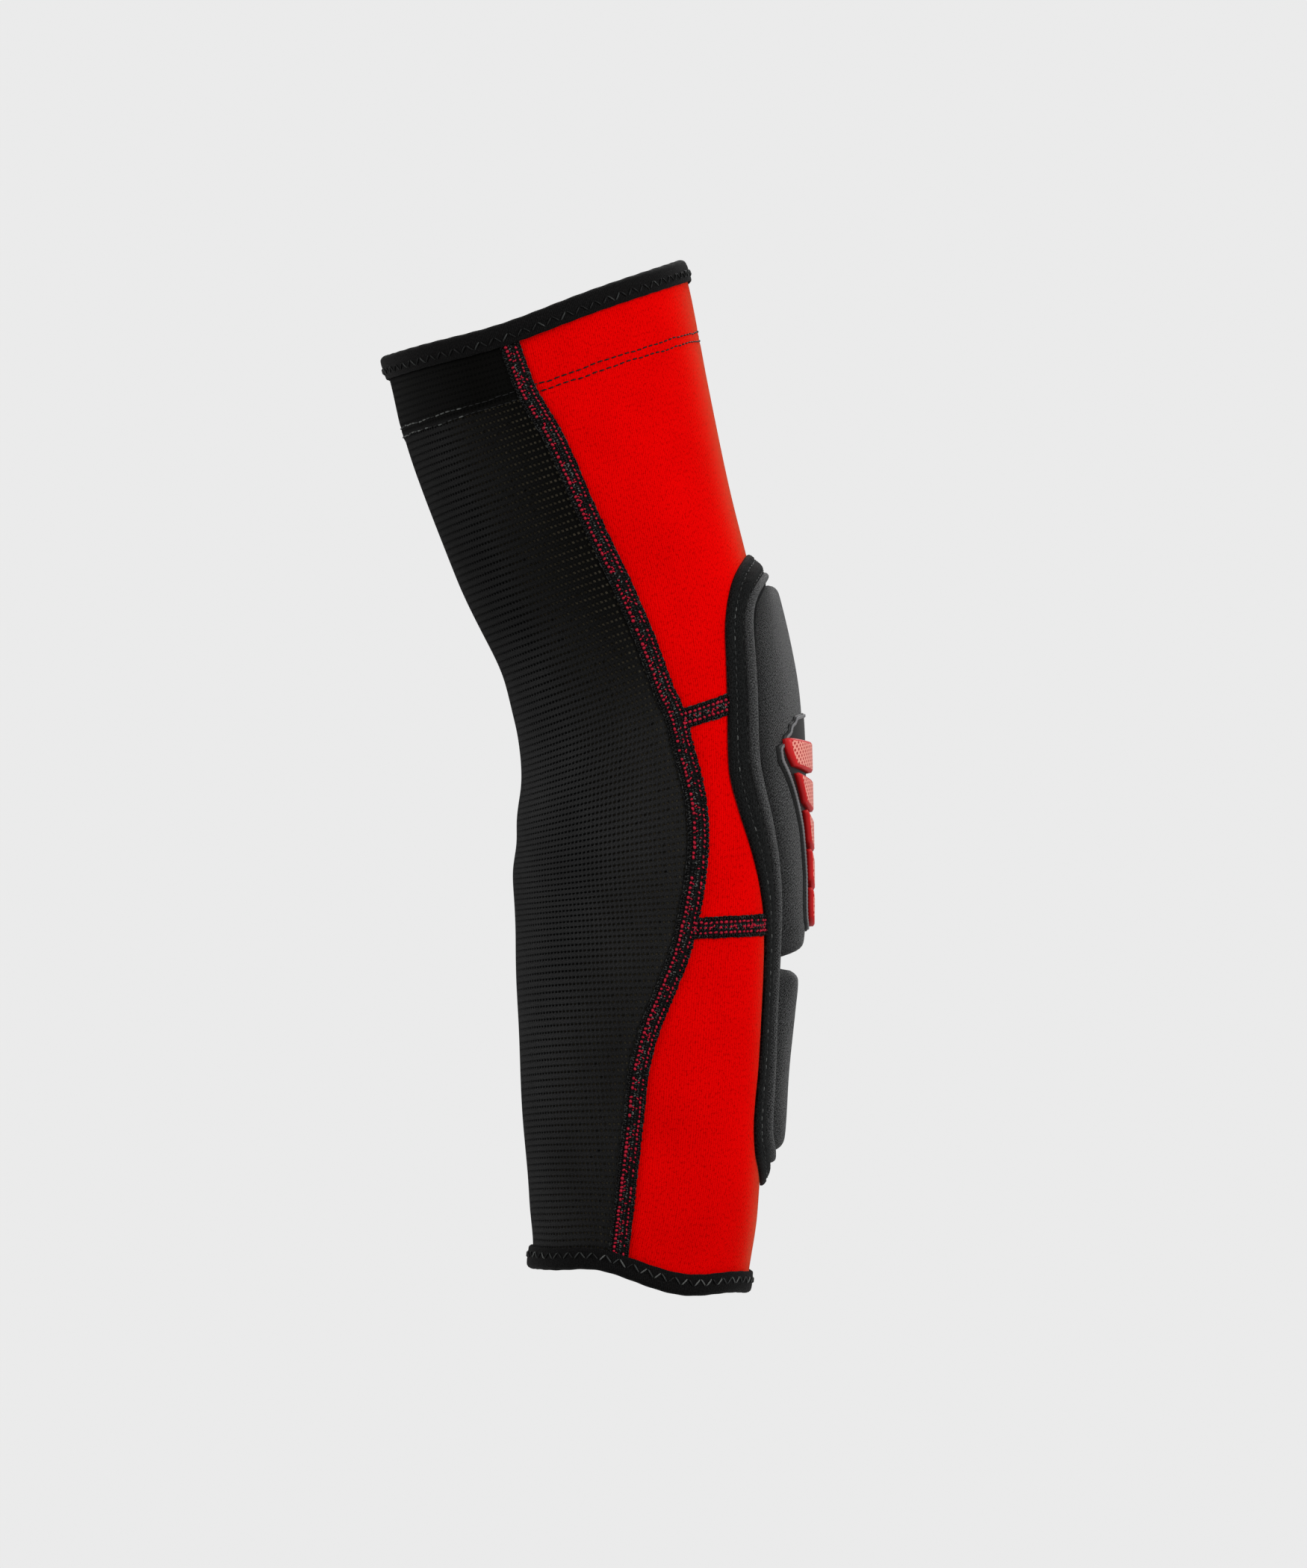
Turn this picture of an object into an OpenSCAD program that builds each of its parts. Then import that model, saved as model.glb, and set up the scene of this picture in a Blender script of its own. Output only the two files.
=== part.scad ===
// Slip-on elbow and forearm guard: a pre-bent knitted sleeve with a long soft pad behind the elbow.
// Origin: the elbow's centre. +Z runs up the arm, +X points out of the back of the elbow and
// the sleeve is the same on both sides of the XZ plane.

/* [Sleeve] */
// Radius of the knit inside the upper hem
upper_hem_r = 46.4; // [45:0.1:48]
// Radius of the knit inside the lower hem
lower_hem_r = 32.3; // [31:0.1:34]
// Radius of the knit at the elbow's centre
elbow_r = 39.2; // [38:0.1:41]
// Thickness of the knit
knit_t = 1.6; // [1.2:0.1:1.8]
// Height of the plane through the upper hem's edge
upper_end = 137; // [135:0.5:140]
// Height of the plane through the lower hem's edge
lower_end = -152; // [-155:0.5:-150]
// Lowest plane of the stretch that moves with the upper arm
upper_split = 50; // [48:1:56]
// Highest plane of the stretch that moves with the forearm
lower_split = -47; // [-52:1:-45]

/* [Hems] */
// Height of the folded hem tape
tape_h = 7; // [6:0.5:8]
// Thickness of one leg of the hem tape
tape_t = 0.9; // [0.6:0.1:1]
// Height of the elastic gripper band
band_h = 16; // [12:1:18]
// Number of silicone lines inside the gripper band
grip_lines = 3; // [2:1:4]

/* [Stitching] */
// Width of a flatlock seam
seam_w = 5.8; // [5:0.1:6.5]
// Thickness of a flatlock seam's thread cover
seam_t = 0.5; // [0.3:0.1:0.6]
// Thickness of sewing thread
thread_t = 0.4; // [0.3:0.05:0.5]
// Zigzag stitches round the upper hem
upper_zigzags = 66; // [50:2:80]
// Zigzag stitches round the lower hem
lower_zigzags = 46; // [36:2:60]

/* [Pad] */
// Height of the pad's top tip
pad_top = 50; // [48:0.5:52]
// Height of the pad's bottom tip
pad_bottom = -122; // [-124:0.5:-120]
// Height of the flex notch between the two blocks
notch_z = -58.5; // [-60:0.5:-57]
// Thickness of the pad's flange
flange_t = 0.8; // [0.6:0.1:1]
// Thickness of the cloth over the blocks
cover_t = 0.8; // [0.6:0.1:1]
// Height of the raised rim above the sleeve
rim_h = 4.2; // [3.6:0.1:4.6]

/* [Badge] */
// Height of the badge's top edge
badge_top = 3; // [0:0.5:5]
// Height of the badge's bottom edge
badge_bottom = -50; // [-52:0.5:-48]
// Number of raised chevrons
chevrons = 5; // [3:1:7]
// Height of a chevron above the badge's base
chevron_h = 1.6; // [1:0.1:2]

/* [Hidden] */

gap = 0.25;           // air between layers that are sewn or glued on the real guard
joint_gap = 0.35;     // air between the stretches of the sleeve that move apart
seam_end = 0.8;       // air between the end of one seam and another seam
tape_air = 0.4;       // air between the knit's edge and the tape folded over it
row = 10;             // distance between the rows of a skin
mesh_columns = 20;    // columns of the mesh side's skin
back_columns = 24;    // columns of the back side's skin
block_columns = 12;   // columns of a pad block
edge_air = 0.25;      // degrees between a seam's line and each panel's edge
tucked = 1.5;         // from a hem's edge to the knit's edge inside the fold
double_stitch = 2.6;  // distance between the two rows of a double stitch
silicone_w = 1.5;     // width of a silicone line
silicone_t = 0.35;    // thickness of a silicone line
outer_stitch_in = 1.8; // from the flange's edge to its outer stitch row
inner_stitch_in = 4.4; // from the flange's edge to its inner stitch row
rim_in = 6.5;         // from the flange's edge to the middle of the rim
rim_w = 1.5;          // width of the rim
notch_half = 1.5;     // half of the flex notch's width
end_row = 2;          // from a block's end to the row where its top is nearly full height
upper_seam_z = 11;    // plane of the seam above the gusset
lower_seam_z = -47.5; // plane of the seam below the gusset
elbow_low = notch_z + notch_half;    // the elbow block's lower end
elbow_high = 38;                     // the elbow block's upper end
forearm_low = -111;                  // the forearm block's lower end
forearm_high = notch_z - notch_half; // the forearm block's upper end
deg = 180 / PI;

// The sleeve's cross sections: height, shift in X, tilt of the plane in degrees, radius,
// and squareness of the back half (2 is round, more is flatter behind the pad).
SPINE = [
    [lower_end,     -2.7, -6.5, lower_hem_r,       2.0],
    [lower_end + 7, -1.9, -6.5, lower_hem_r,       2.0],
    [-130,          -1.2, -4.0, lower_hem_r + 1.6, 2.3],
    [-100,          -1.4,  0.0, elbow_r - 3.5,     3.0],
    [-70,           -1.6,  1.0, elbow_r - 2.1,     3.2],
    [-47,           -1.4,  2.5, elbow_r - 1.2,     3.2],
    [-30,           -1.2,  7.0, elbow_r - 0.4,     3.0],
    [-15,           -0.9, 12.0, elbow_r,           2.8],
    [0,             -0.7, 16.0, elbow_r,           2.7],
    [17,            -1.0, 19.0, elbow_r - 0.4,     2.6],
    [40,            -5.6, 19.5, elbow_r + 0.4,     2.4],
    [70,           -16.2, 19.0, upper_hem_r - 3.6, 2.1],
    [100,          -24.9, 18.5, upper_hem_r - 1.2, 2.0],
    [115,          -28.8, 18.0, upper_hem_r - 0.2, 2.0],
    [upper_end - 7.5, -31.96, 18.0, upper_hem_r,   2.0],
    [upper_end,     -34.4, 18.0, upper_hem_r,      2.0]
];

// Where the seam between mesh and back panels runs: height, angle from the back in degrees.
SEAM = [[lower_end, 103], [-129, 99.5], [-105, 95], [-88, 92], [-76, 88], [-67, 83.5], [-55, 75.5],
        [-46, 70.5], [-32, 67.5], [-20, 67], [-9, 69], [2, 73], [13, 76.5], [21, 80.5], [43, 85.5],
        [61, 88], [80, 91], [98, 94], [114, 99], [upper_end, 102.5]];

// Half of the pad's outline: height, angle from the back.
OUTLINE = [[pad_bottom, 0], [-120, 12], [-117, 20], [-113, 27.5], [-106, 32], [-98, 32.5], [-86, 30.5],
           [-63, 29.5], [-48, 31.5], [-38, 36.5], [-27, 43.5], [-17, 49.5], [-6, 53.5], [10, 53],
           [22, 51], [33, 47.5], [41, 41], [46, 32], [49, 18], [pad_top, 0]];

// Half angle of each block, and the height of its cloth above the sleeve along the back.
ELBOW_EDGE = [[elbow_low, 14], [elbow_low + end_row, 17], [-48, 19], [-38, 23], [-30, 27], [-20, 33],
              [-10, 38], [2, 40], [20, 37], [30, 32], [35, 26], [elbow_high, 16]];
ELBOW_TOP = [[elbow_low, 5], [elbow_low + end_row, 9.4], [-52, 10.2], [-45, 10.2], [-20, 9], [4, 9],
             [18, 8.2], [34, 7.2], [elbow_high, 5]];
FOREARM_EDGE = [[forearm_low, 4], [forearm_low + end_row, 9], [-105, 14.5], [-98, 18.5], [-80, 17.5],
                [forearm_high - 3, 16.5], [forearm_high, 14]];
FOREARM_TOP = [[forearm_low, 4.4], [forearm_low + end_row, 6.8], [-90, 7.4], [-72, 8.6], [-64, 9],
               [forearm_high - end_row, 8.6], [forearm_high, 5]];

BADGE_EDGE = [[badge_bottom, 9.5], [-36, 13.5], [-25, 19.5], [-15, 27], [badge_top - 3, 30], [badge_top, 27]];

// Smooth curve through column k of the table of sections.
function span(z, i = 0) = i >= len(SPINE) - 2 || z <= SPINE[i + 1][0] ? i : span(z, i + 1);
function slope(i, k) =
    let (a = max(i - 1, 0), b = min(i + 1, len(SPINE) - 1))
    (SPINE[b][k] - SPINE[a][k]) / (SPINE[b][0] - SPINE[a][0]);
function section(z, k) =
    let (i = span(z), a = SPINE[i], b = SPINE[i + 1], d = b[0] - a[0], s = (z - a[0]) / d)
    a[k] * (1 + 2 * s) * pow(1 - s, 2) + slope(i, k) * d * s * pow(1 - s, 2)
    + b[k] * s * s * (3 - 2 * s) + slope(i + 1, k) * d * s * s * (s - 1);

// A point of the sleeve: section height z, angle a from the back, height h above the knit.
function skin(z, a, h) =
    let (tilt = section(z, 2), n = section(z, 4), c = cos(a), s = sin(a),
         square = c > 0 ? pow(pow(c, n) + pow(abs(s), n), -1 / n) : 1,
         r = section(z, 3) * square + h)
    [section(z, 1) + r * c * cos(tilt), r * s, z + r * c * sin(tilt)];

// Section heights from one plane to another, evenly spaced at about a row.
function rows(from, to, pitch = row) =
    let (n = max(1, round(abs(to - from) / pitch))) [for (i = [0:n]) from + (to - from) * i / n];
function seam(z) = lookup(z, SEAM);

// Height of a block's cloth above the sleeve: domed across, from the flange up to its top table.
function block(z, a, edge, top) =
    let (s = min(1, abs(a) / lookup(z, edge)))
    block_foot + (lookup(z, top) - block_foot) * sqrt(1 - pow(s, 4));
function elbow_block(z, a) = block(z, a, ELBOW_EDGE, ELBOW_TOP);
function forearm_block(z, a) = block(z, a, FOREARM_EDGE, FOREARM_TOP);

// Closed solid between two heights above the sleeve, over a stretch of rows and angles.
// With wrap it closes on itself all round.
module slab(zs, from, to, low, high, cols, wrap = false) {
    m = len(zs) - 1;
    w = wrap ? cols : cols + 1;
    points = [for (k = [0, 1]) for (z = zs) for (j = [0:w - 1])
        let (a = from(z) + (to(z) - from(z)) * j / cols) skin(z, a, k == 0 ? low(z, a) : high(z, a))];
    id = function(k, i, j) (k * (m + 1) + i) * w + j % w;
    quads = concat(
        [for (i = [0:m - 1]) for (j = [0:cols - 1])
            [id(1, i, j), id(1, i + 1, j), id(1, i + 1, j + 1), id(1, i, j + 1)]],
        [for (i = [0:m - 1]) for (j = [0:cols - 1])
            [id(0, i, j), id(0, i, j + 1), id(0, i + 1, j + 1), id(0, i + 1, j)]],
        [for (j = [0:cols - 1]) [id(0, 0, j), id(1, 0, j), id(1, 0, j + 1), id(0, 0, j + 1)]],
        [for (j = [0:cols - 1]) [id(0, m, j), id(0, m, j + 1), id(1, m, j + 1), id(1, m, j)]],
        wrap ? [] : [for (i = [0:m - 1]) [id(0, i, 0), id(0, i + 1, 0), id(1, i + 1, 0), id(1, i, 0)]],
        wrap ? [] : [for (i = [0:m - 1])
            [id(0, i, cols), id(1, i, cols), id(1, i + 1, cols), id(0, i + 1, cols)]]);
    polyhedron(points, [for (q = quads) each [[q[0], q[1], q[2]], [q[0], q[2], q[3]]]], convexity = 6);
}

// Flat strip along a path of [height, angle] points on the sleeve, between two heights above it.
module ribbon(path, wide, low, high, loop = false) {
    n = len(path);
    prev = function(i) loop ? (i + n - 1) % n : max(i - 1, 0);
    next = function(i) loop ? (i + 1) % n : min(i + 1, n - 1);
    turn = function(a) a > 180 ? a - 360 : a < -180 ? a + 360 : a;
    points = [for (i = [0:n - 1])
        let (p = path[i], a = path[prev(i)], b = path[next(i)], r = section(p[0], 3),
             dz = b[0] - a[0], da = turn(b[1] - a[1]) * r / deg, d = sqrt(dz * dz + da * da),
             uz = da / d * wide / 2, ua = -dz / d * wide / 2 * deg / r)
        each [skin(p[0] - uz, p[1] - ua, low), skin(p[0] + uz, p[1] + ua, low),
              skin(p[0] + uz, p[1] + ua, high), skin(p[0] - uz, p[1] - ua, high)]];
    steps = loop ? n - 1 : n - 2;
    sides = [for (i = [0:steps]) for (k = [0:3])
        let (a = i * 4 + k, b = i * 4 + (k + 1) % 4, c = next(i) * 4 + (k + 1) % 4, d = next(i) * 4 + k)
        each [[a, b, c], [a, c, d]]];
    last = n * 4 - 4;
    ends = loop ? [] : [[0, 2, 1], [0, 3, 2], [last, last + 1, last + 2], [last, last + 2, last + 3]];
    polyhedron(points, concat(sides, ends), convexity = 6);
}

// The knit itself, over the mesh side or the back side of the seams.
module mesh_panel(from, to) {
    color([0.08, 0.08, 0.08])
        slab(rows(from, to), function(z) seam(z) + edge_air, function(z) 360 - seam(z) - edge_air,
             function(z, a) -knit_t, function(z, a) 0, mesh_columns);
}
module back_panel(from, to) {
    color([0.9, 0.02, 0.02])
        slab(rows(from, to), function(z) edge_air - seam(z), function(z) seam(z) - edge_air,
             function(z, a) -knit_t, function(z, a) 0, back_columns);
}
module upper_mesh_panel() mesh_panel(upper_split + joint_gap, upper_end - tucked);
module elbow_mesh_panel() mesh_panel(lower_split, upper_split);
module forearm_mesh_panel() mesh_panel(lower_end + tucked, lower_split - joint_gap);
module upper_back_panel() back_panel(upper_seam_z + joint_gap / 2, upper_end - tucked);
module elbow_gusset() back_panel(lower_seam_z + joint_gap / 2, upper_seam_z - joint_gap / 2);
module forearm_back_panel() back_panel(lower_end + tucked, lower_seam_z - joint_gap / 2);

// Tape folded over a knit edge, turned about the Z axis with its fold at the top.
module tape(r) {
    inner = r - knit_t - tape_air - tape_t;
    outer = r + tape_air + tape_t;
    fold = 1.2;
    bevel = 0.6;
    rotate_extrude($fn = 96)
        polygon([[inner, -tape_h], [inner + tape_t, -tape_h], [inner + tape_t, -fold],
                 [outer - tape_t, -fold], [outer - tape_t, -tape_h], [outer, -tape_h],
                 [outer, -bevel], [outer - bevel, 0], [inner + bevel, 0], [inner, -bevel]]);
}
module at_section(i) translate([SPINE[i][1], 0, SPINE[i][0]]) rotate([0, -SPINE[i][2], 0]) children();
module upper_hem_binding() color([0.05, 0.05, 0.05]) at_section(len(SPINE) - 1) tape(upper_hem_r);
module lower_hem_binding() color([0.05, 0.05, 0.05]) at_section(0) mirror([0, 0, 1]) tape(lower_hem_r);

// Thread that runs up and down round a tape.
module zigzag(z, count) {
    swing = tape_h / 2 - 1.6;
    path = [for (i = [0:2 * count - 1]) [z + (i % 2 == 0 ? swing : -swing), i * 180 / count]];
    low = tape_air + tape_t + 0.15;
    color([0.12, 0.12, 0.12]) ribbon(path, thread_t, low, low + thread_t, loop = true);
}
module upper_hem_zigzag() zigzag(upper_end - tape_h / 2, upper_zigzags);
module lower_hem_zigzag() zigzag(lower_end + tape_h / 2, lower_zigzags);

// A full turn round the sleeve at one height.
function turn_at(z, count = 48) = [for (i = [0:count - 1]) [z, i * 360 / count]];

band_top = upper_end - tape_h - 1;
band_t = 0.4;
module gripper_band() {
    color([0.15, 0.15, 0.15])
        slab(rows(band_top - band_h, band_top, 8), function(z) 0, function(z) 360,
             function(z, a) -knit_t - gap - band_t, function(z, a) -knit_t - gap, 48, wrap = true);
}
module silicone_grip_lines() {
    line_pitch = band_h / (grip_lines + 1);
    low = -knit_t - 2 * gap - band_t - silicone_t;
    color([0.75, 0.75, 0.75]) for (i = [1:grip_lines])
        ribbon(turn_at(band_top - i * line_pitch), silicone_w, low, low + silicone_t, loop = true);
}
module gripper_band_stitches() {
    for (drop = [band_h, band_h - double_stitch]) color([0.1, 0.1, 0.1])
        ribbon(turn_at(band_top - drop), thread_t,
               gap + seam_t + 0.1, gap + seam_t + 0.1 + thread_t, loop = true);
}

// Flatlock thread covers along the seam lines, on both sides of the sleeve.
module flatlock(from, to) {
    color([0.12, 0.04, 0.04]) for (side = [-1, 1])
        ribbon([for (z = rows(from, to, 8)) [z, side * seam(z)]], seam_w, gap, gap + seam_t);
}
module cross_flatlock(z) {
    reach = seam(z) - (seam_w / 2 + seam_end) * deg / section(z, 3);
    color([0.12, 0.04, 0.04])
        ribbon([for (i = [-8:8]) [z, reach * i / 8]], seam_w, gap, gap + seam_t);
}
module upper_flatlock_seams() flatlock(upper_split + seam_end, upper_end - tape_h - seam_end);
module elbow_flatlock_seams() flatlock(lower_split, upper_split);
module forearm_flatlock_seams() flatlock(lower_end + tape_h + seam_end, lower_split - 2 * seam_end);
module upper_cross_seam() cross_flatlock(upper_seam_z);
module lower_cross_seam() cross_flatlock(lower_seam_z);

// The pad: flange sheet, stitch rows, raised rim, foam blocks and their cloth.
flange_low = seam_t + 2 * gap + 0.15;
flange_top = flange_low + flange_t;
foam_low = flange_top + gap;
foam_edge = 0.3;
block_foot = foam_low + foam_edge + gap + cover_t;
function outline_at(z) = lookup(z, OUTLINE);
// The pad's outline as a closed path, drawn in by a distance.
function outline_path(inset) =
    let (mid = (pad_top + pad_bottom) / 2, half = (pad_top - pad_bottom) / 2,
         side = [for (p = OUTLINE)
            let (z = mid + (p[0] - mid) * (1 - inset / half))
            [z, max(0, p[1] - inset * deg / section(p[0], 3))]],
         inner = [for (p = side) if (p[1] > 3) p])
    concat([[side[0][0], 0]], inner, [[side[len(side) - 1][0], 0]],
           [for (i = [len(inner) - 1:-1:0]) [inner[i][0], -inner[i][1]]]);
module pad_flange() {
    zs = concat([pad_bottom + 0.6, pad_bottom + 2.5], rows(pad_bottom + 5, pad_top - 4, 8),
                [pad_top - 1.8, pad_top - 0.4]);
    color([0.1, 0.1, 0.1])
        slab(zs, function(z) -outline_at(z), function(z) outline_at(z),
             function(z, a) flange_low, function(z, a) flange_top, 14);
}
module pad_stitch(inset) {
    color([0.16, 0.16, 0.16])
        ribbon(outline_path(inset), thread_t,
               flange_top + 2 * gap, flange_top + 2 * gap + thread_t, loop = true);
}
module pad_outer_stitch() pad_stitch(outer_stitch_in);
module pad_inner_stitch() pad_stitch(inner_stitch_in);
module pad_rim() {
    color([0.15, 0.15, 0.15]) ribbon(outline_path(rim_in), rim_w, flange_top + 2 * gap, rim_h, loop = true);
}
module cover(zs, edge, top) {
    color([0.14, 0.14, 0.14])
        slab(zs, function(z) -lookup(z, edge), function(z) lookup(z, edge),
             function(z, a) block(z, a, edge, top) - cover_t, function(z, a) block(z, a, edge, top),
             block_columns);
}
// The foam keeps the cover's rows and columns, without the outermost, so the two stay parallel.
module foam(zs, edge, top) {
    inner = (block_columns - 2) / block_columns;
    color([0.3, 0.3, 0.32])
        slab(zs, function(z) -lookup(z, edge) * inner, function(z) lookup(z, edge) * inner,
             function(z, a) foam_low, function(z, a) block(z, a, edge, top) - cover_t - gap,
             block_columns - 2);
}
elbow_rows = concat([elbow_low + end_row], rows(elbow_low + 5, elbow_high - 4, 8));
forearm_rows = concat([forearm_low + end_row], rows(forearm_low + 6, forearm_high - 4, 8),
                      [forearm_high - end_row]);
module elbow_pad_cover() cover(concat([elbow_low], elbow_rows, [elbow_high]), ELBOW_EDGE, ELBOW_TOP);
module forearm_pad_cover()
    cover(concat([forearm_low], forearm_rows, [forearm_high]), FOREARM_EDGE, FOREARM_TOP);
module elbow_foam_core() foam(elbow_rows, ELBOW_EDGE, ELBOW_TOP);
module forearm_foam_core() foam(forearm_rows, FOREARM_EDGE, FOREARM_TOP);

// The badge on the elbow block: a thin base, a frame round its edge and a stack of chevrons.
base_t = 0.7;
function badge_edge(z) = lookup(z, BADGE_EDGE);
module badge_base() {
    color([0.03, 0.03, 0.03])
        slab(rows(badge_bottom, badge_top, 8), function(z) -badge_edge(z), function(z) badge_edge(z),
             function(z, a) elbow_block(z, a) + gap, function(z, a) elbow_block(z, a) + gap + base_t, 8);
}
// One strip of the frame, on the base, between two fractions of its half width.
module frame_side(side) {
    color([0.45, 0.45, 0.47])
        slab(rows(badge_bottom, badge_top, 8),
             function(z) side > 0 ? badge_edge(z) * 0.9 : -badge_edge(z),
             function(z) side > 0 ? badge_edge(z) : -badge_edge(z) * 0.9,
             function(z, a) elbow_block(z, a) + 2 * gap + base_t,
             function(z, a) elbow_block(z, a) + 2 * gap + base_t + 0.5, 1);
}
module badge_frame() for (side = [-1, 1]) frame_side(side);
module badge_blocks() {
    pitch = (badge_top - badge_bottom) / chevrons;
    for (i = [0:chevrons - 1]) {
        low_z = badge_bottom + pitch * (i + 0.12);
        high_z = badge_bottom + pitch * (i + 0.88);
        color([0.85, 0.05, 0.05])
            slab([low_z, high_z], function(z) -badge_edge(z) * 0.84, function(z) badge_edge(z) * 0.84,
                 function(z, a) elbow_block(z, a) + 2 * gap + base_t + 0.1,
                 function(z, a) elbow_block(z, a) + 2 * gap + base_t + chevron_h, 8);
    }
}

upper_mesh_panel();
elbow_mesh_panel();
forearm_mesh_panel();
upper_back_panel();
elbow_gusset();
forearm_back_panel();
upper_hem_binding();
lower_hem_binding();
upper_hem_zigzag();
lower_hem_zigzag();
gripper_band();
silicone_grip_lines();
gripper_band_stitches();
upper_flatlock_seams();
elbow_flatlock_seams();
forearm_flatlock_seams();
upper_cross_seam();
lower_cross_seam();
pad_flange();
pad_outer_stitch();
pad_inner_stitch();
pad_rim();
elbow_pad_cover();
forearm_pad_cover();
elbow_foam_core();
forearm_foam_core();
badge_base();
badge_frame();
badge_blocks();
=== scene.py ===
"""Looks of the padded elbow and forearm guard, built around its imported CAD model.

Sizes in the tables and functions are in millimetres and degrees, as in the CAD source, and meshes are
made in metres. A point of the sleeve is a section height z, an angle a from the back (the near side is
negative) and a height h above the knit.
"""
import math

import bmesh
import bpy
import numpy as np
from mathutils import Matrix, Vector


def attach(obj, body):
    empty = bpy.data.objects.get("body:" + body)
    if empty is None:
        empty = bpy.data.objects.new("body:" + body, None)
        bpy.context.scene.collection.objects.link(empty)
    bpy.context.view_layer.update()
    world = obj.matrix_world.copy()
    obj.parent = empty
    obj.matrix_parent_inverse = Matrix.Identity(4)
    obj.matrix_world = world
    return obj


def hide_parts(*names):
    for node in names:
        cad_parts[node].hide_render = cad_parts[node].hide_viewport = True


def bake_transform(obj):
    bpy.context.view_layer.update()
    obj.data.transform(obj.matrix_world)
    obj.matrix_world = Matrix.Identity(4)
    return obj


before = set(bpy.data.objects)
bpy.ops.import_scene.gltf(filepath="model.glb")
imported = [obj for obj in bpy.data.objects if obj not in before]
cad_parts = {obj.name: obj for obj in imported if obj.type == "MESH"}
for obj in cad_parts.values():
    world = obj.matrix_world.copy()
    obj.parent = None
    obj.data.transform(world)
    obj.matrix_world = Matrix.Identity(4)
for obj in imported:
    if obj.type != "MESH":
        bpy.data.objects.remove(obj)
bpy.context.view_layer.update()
random = np.random.default_rng(11)

MM = 0.001
KNIT = 1.6
UPPER_END, LOWER_END = 137.0, -152.0
TUCKED = 1.5
PAD_TOP, PAD_BOTTOM = 50.0, -122.0
UPPER_SEAM, LOWER_SEAM = 11.0, -47.5
TAPE = 6.5
BAND_LOW, BAND_HIGH, BAND_RADIUS = 113.0, 129.0, 46.0
DOUBLE_STITCH = 2.6
SEAM_WIDTH = 5.8
BADGE_LOW, BADGE_HIGH = -50.0, 2.8

# Cross sections: height, shift in X, tilt, radius, squareness of the back half.
SPINE = np.array([
    [-152, -2.7, -6.5, 32.3, 2.0], [-145, -1.9, -6.5, 32.3, 2.0], [-130, -1.2, -4.0, 33.9, 2.3],
    [-100, -1.4, 0.0, 35.7, 3.0], [-70, -1.6, 1.0, 37.1, 3.2], [-47, -1.4, 2.5, 38.0, 3.2],
    [-30, -1.2, 7.0, 38.8, 3.0], [-15, -0.9, 12.0, 39.2, 2.8], [0, -0.7, 16.0, 39.2, 2.7],
    [17, -1.0, 19.0, 38.8, 2.6], [40, -5.6, 19.5, 39.6, 2.4], [70, -16.2, 19.0, 42.8, 2.1],
    [100, -24.9, 18.5, 45.2, 2.0], [115, -28.8, 18.0, 46.2, 2.0], [129.5, -31.96, 18.0, 46.4, 2.0],
    [137, -34.4, 18.0, 46.4, 2.0]])
# The seam between mesh and back panels: height, angle.
SEAM = np.array([
    [-152, 103], [-129, 99.5], [-105, 94.7], [-88, 91.3], [-76, 86.2], [-67, 80.8], [-55, 74], [-46, 71],
    [-32, 67.8], [-20, 67], [-9, 69], [2, 73], [13, 76.5], [21, 80.3], [43, 85], [61, 87.3], [80, 90.6],
    [98, 94], [114, 99], [137, 102.5]], float)
# Half outlines of the pad and its blocks: height, angle. Tops of the blocks: height, height above the knit.
OUTLINE = [
    [PAD_BOTTOM, 0], [-120, 12], [-117, 20], [-113, 27.5], [-106, 32], [-98, 32.5], [-86, 30.5],
    [-63, 29.5], [-48, 31.5], [-38, 36.5], [-27, 43.5], [-17, 49.5], [-6, 53.5], [10, 53], [22, 51],
    [33, 47.5], [41, 41], [46, 32], [49, 18], [PAD_TOP, 0]]
ELBOW_BLOCK = [
    [-57, 0], [-56.6, 9], [-54.5, 15.3], [-48, 17.6], [-38, 21.8], [-30, 26.2], [-20, 32.2], [-10, 37.3],
    [2, 39], [20, 35.8], [30, 30.6], [36, 24], [39.6, 13], [40.3, 0]]
ELBOW_TOP = np.array([
    [-57, 6.2], [-55, 9.2], [-52, 10.2], [-45, 10.2], [-20, 9.2], [4, 9.2], [18, 8.3], [34, 7.2],
    [40.3, 6.7]])
FOREARM_BLOCK = [
    [-112.6, 0], [-111.7, 7], [-108.5, 12.5], [-98, 17.5], [-80, 17], [-63, 16], [-60.4, 10], [-60, 0]]
FOREARM_TOP = np.array([[-112.6, 6.2], [-107, 7.0], [-90, 7.4], [-72, 8.6], [-64, 9.0], [-60, 8.0]])
# The badge's outline, stepped at the top, and how far its raised chevrons reach.
BADGE = [
    [BADGE_LOW, 0], [-49.7, 6.5], [-47.5, 10], [-36, 13.5], [-25, 19.5], [-15, 28], [-8, 34.2],
    [-3.8, 35.2], [-3.2, 32.4], [-1.4, 32], [-0.9, 28.8], [0.9, 28.4], [1.4, 24], [2.6, 23],
    [BADGE_HIGH, 0]]
CHEVRON_REACH = np.array([
    [-50, 6.8], [-46, 8.6], [-36, 11.6], [-25, 17.4], [-15, 26], [-8, 32.2], [0, 33]])

# Heights above the knit.
FLANGE_TOP = 1.95
FOAM_LOW = 2.2


def slopes(table):
    """Slope of each column of a table at each row, from its neighbours."""
    ahead = np.vstack([table[1:], table[-1:]])
    back = np.vstack([table[:1], table[:-1]])
    return (ahead - back) / (ahead[:, :1] - back[:, :1])


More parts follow.
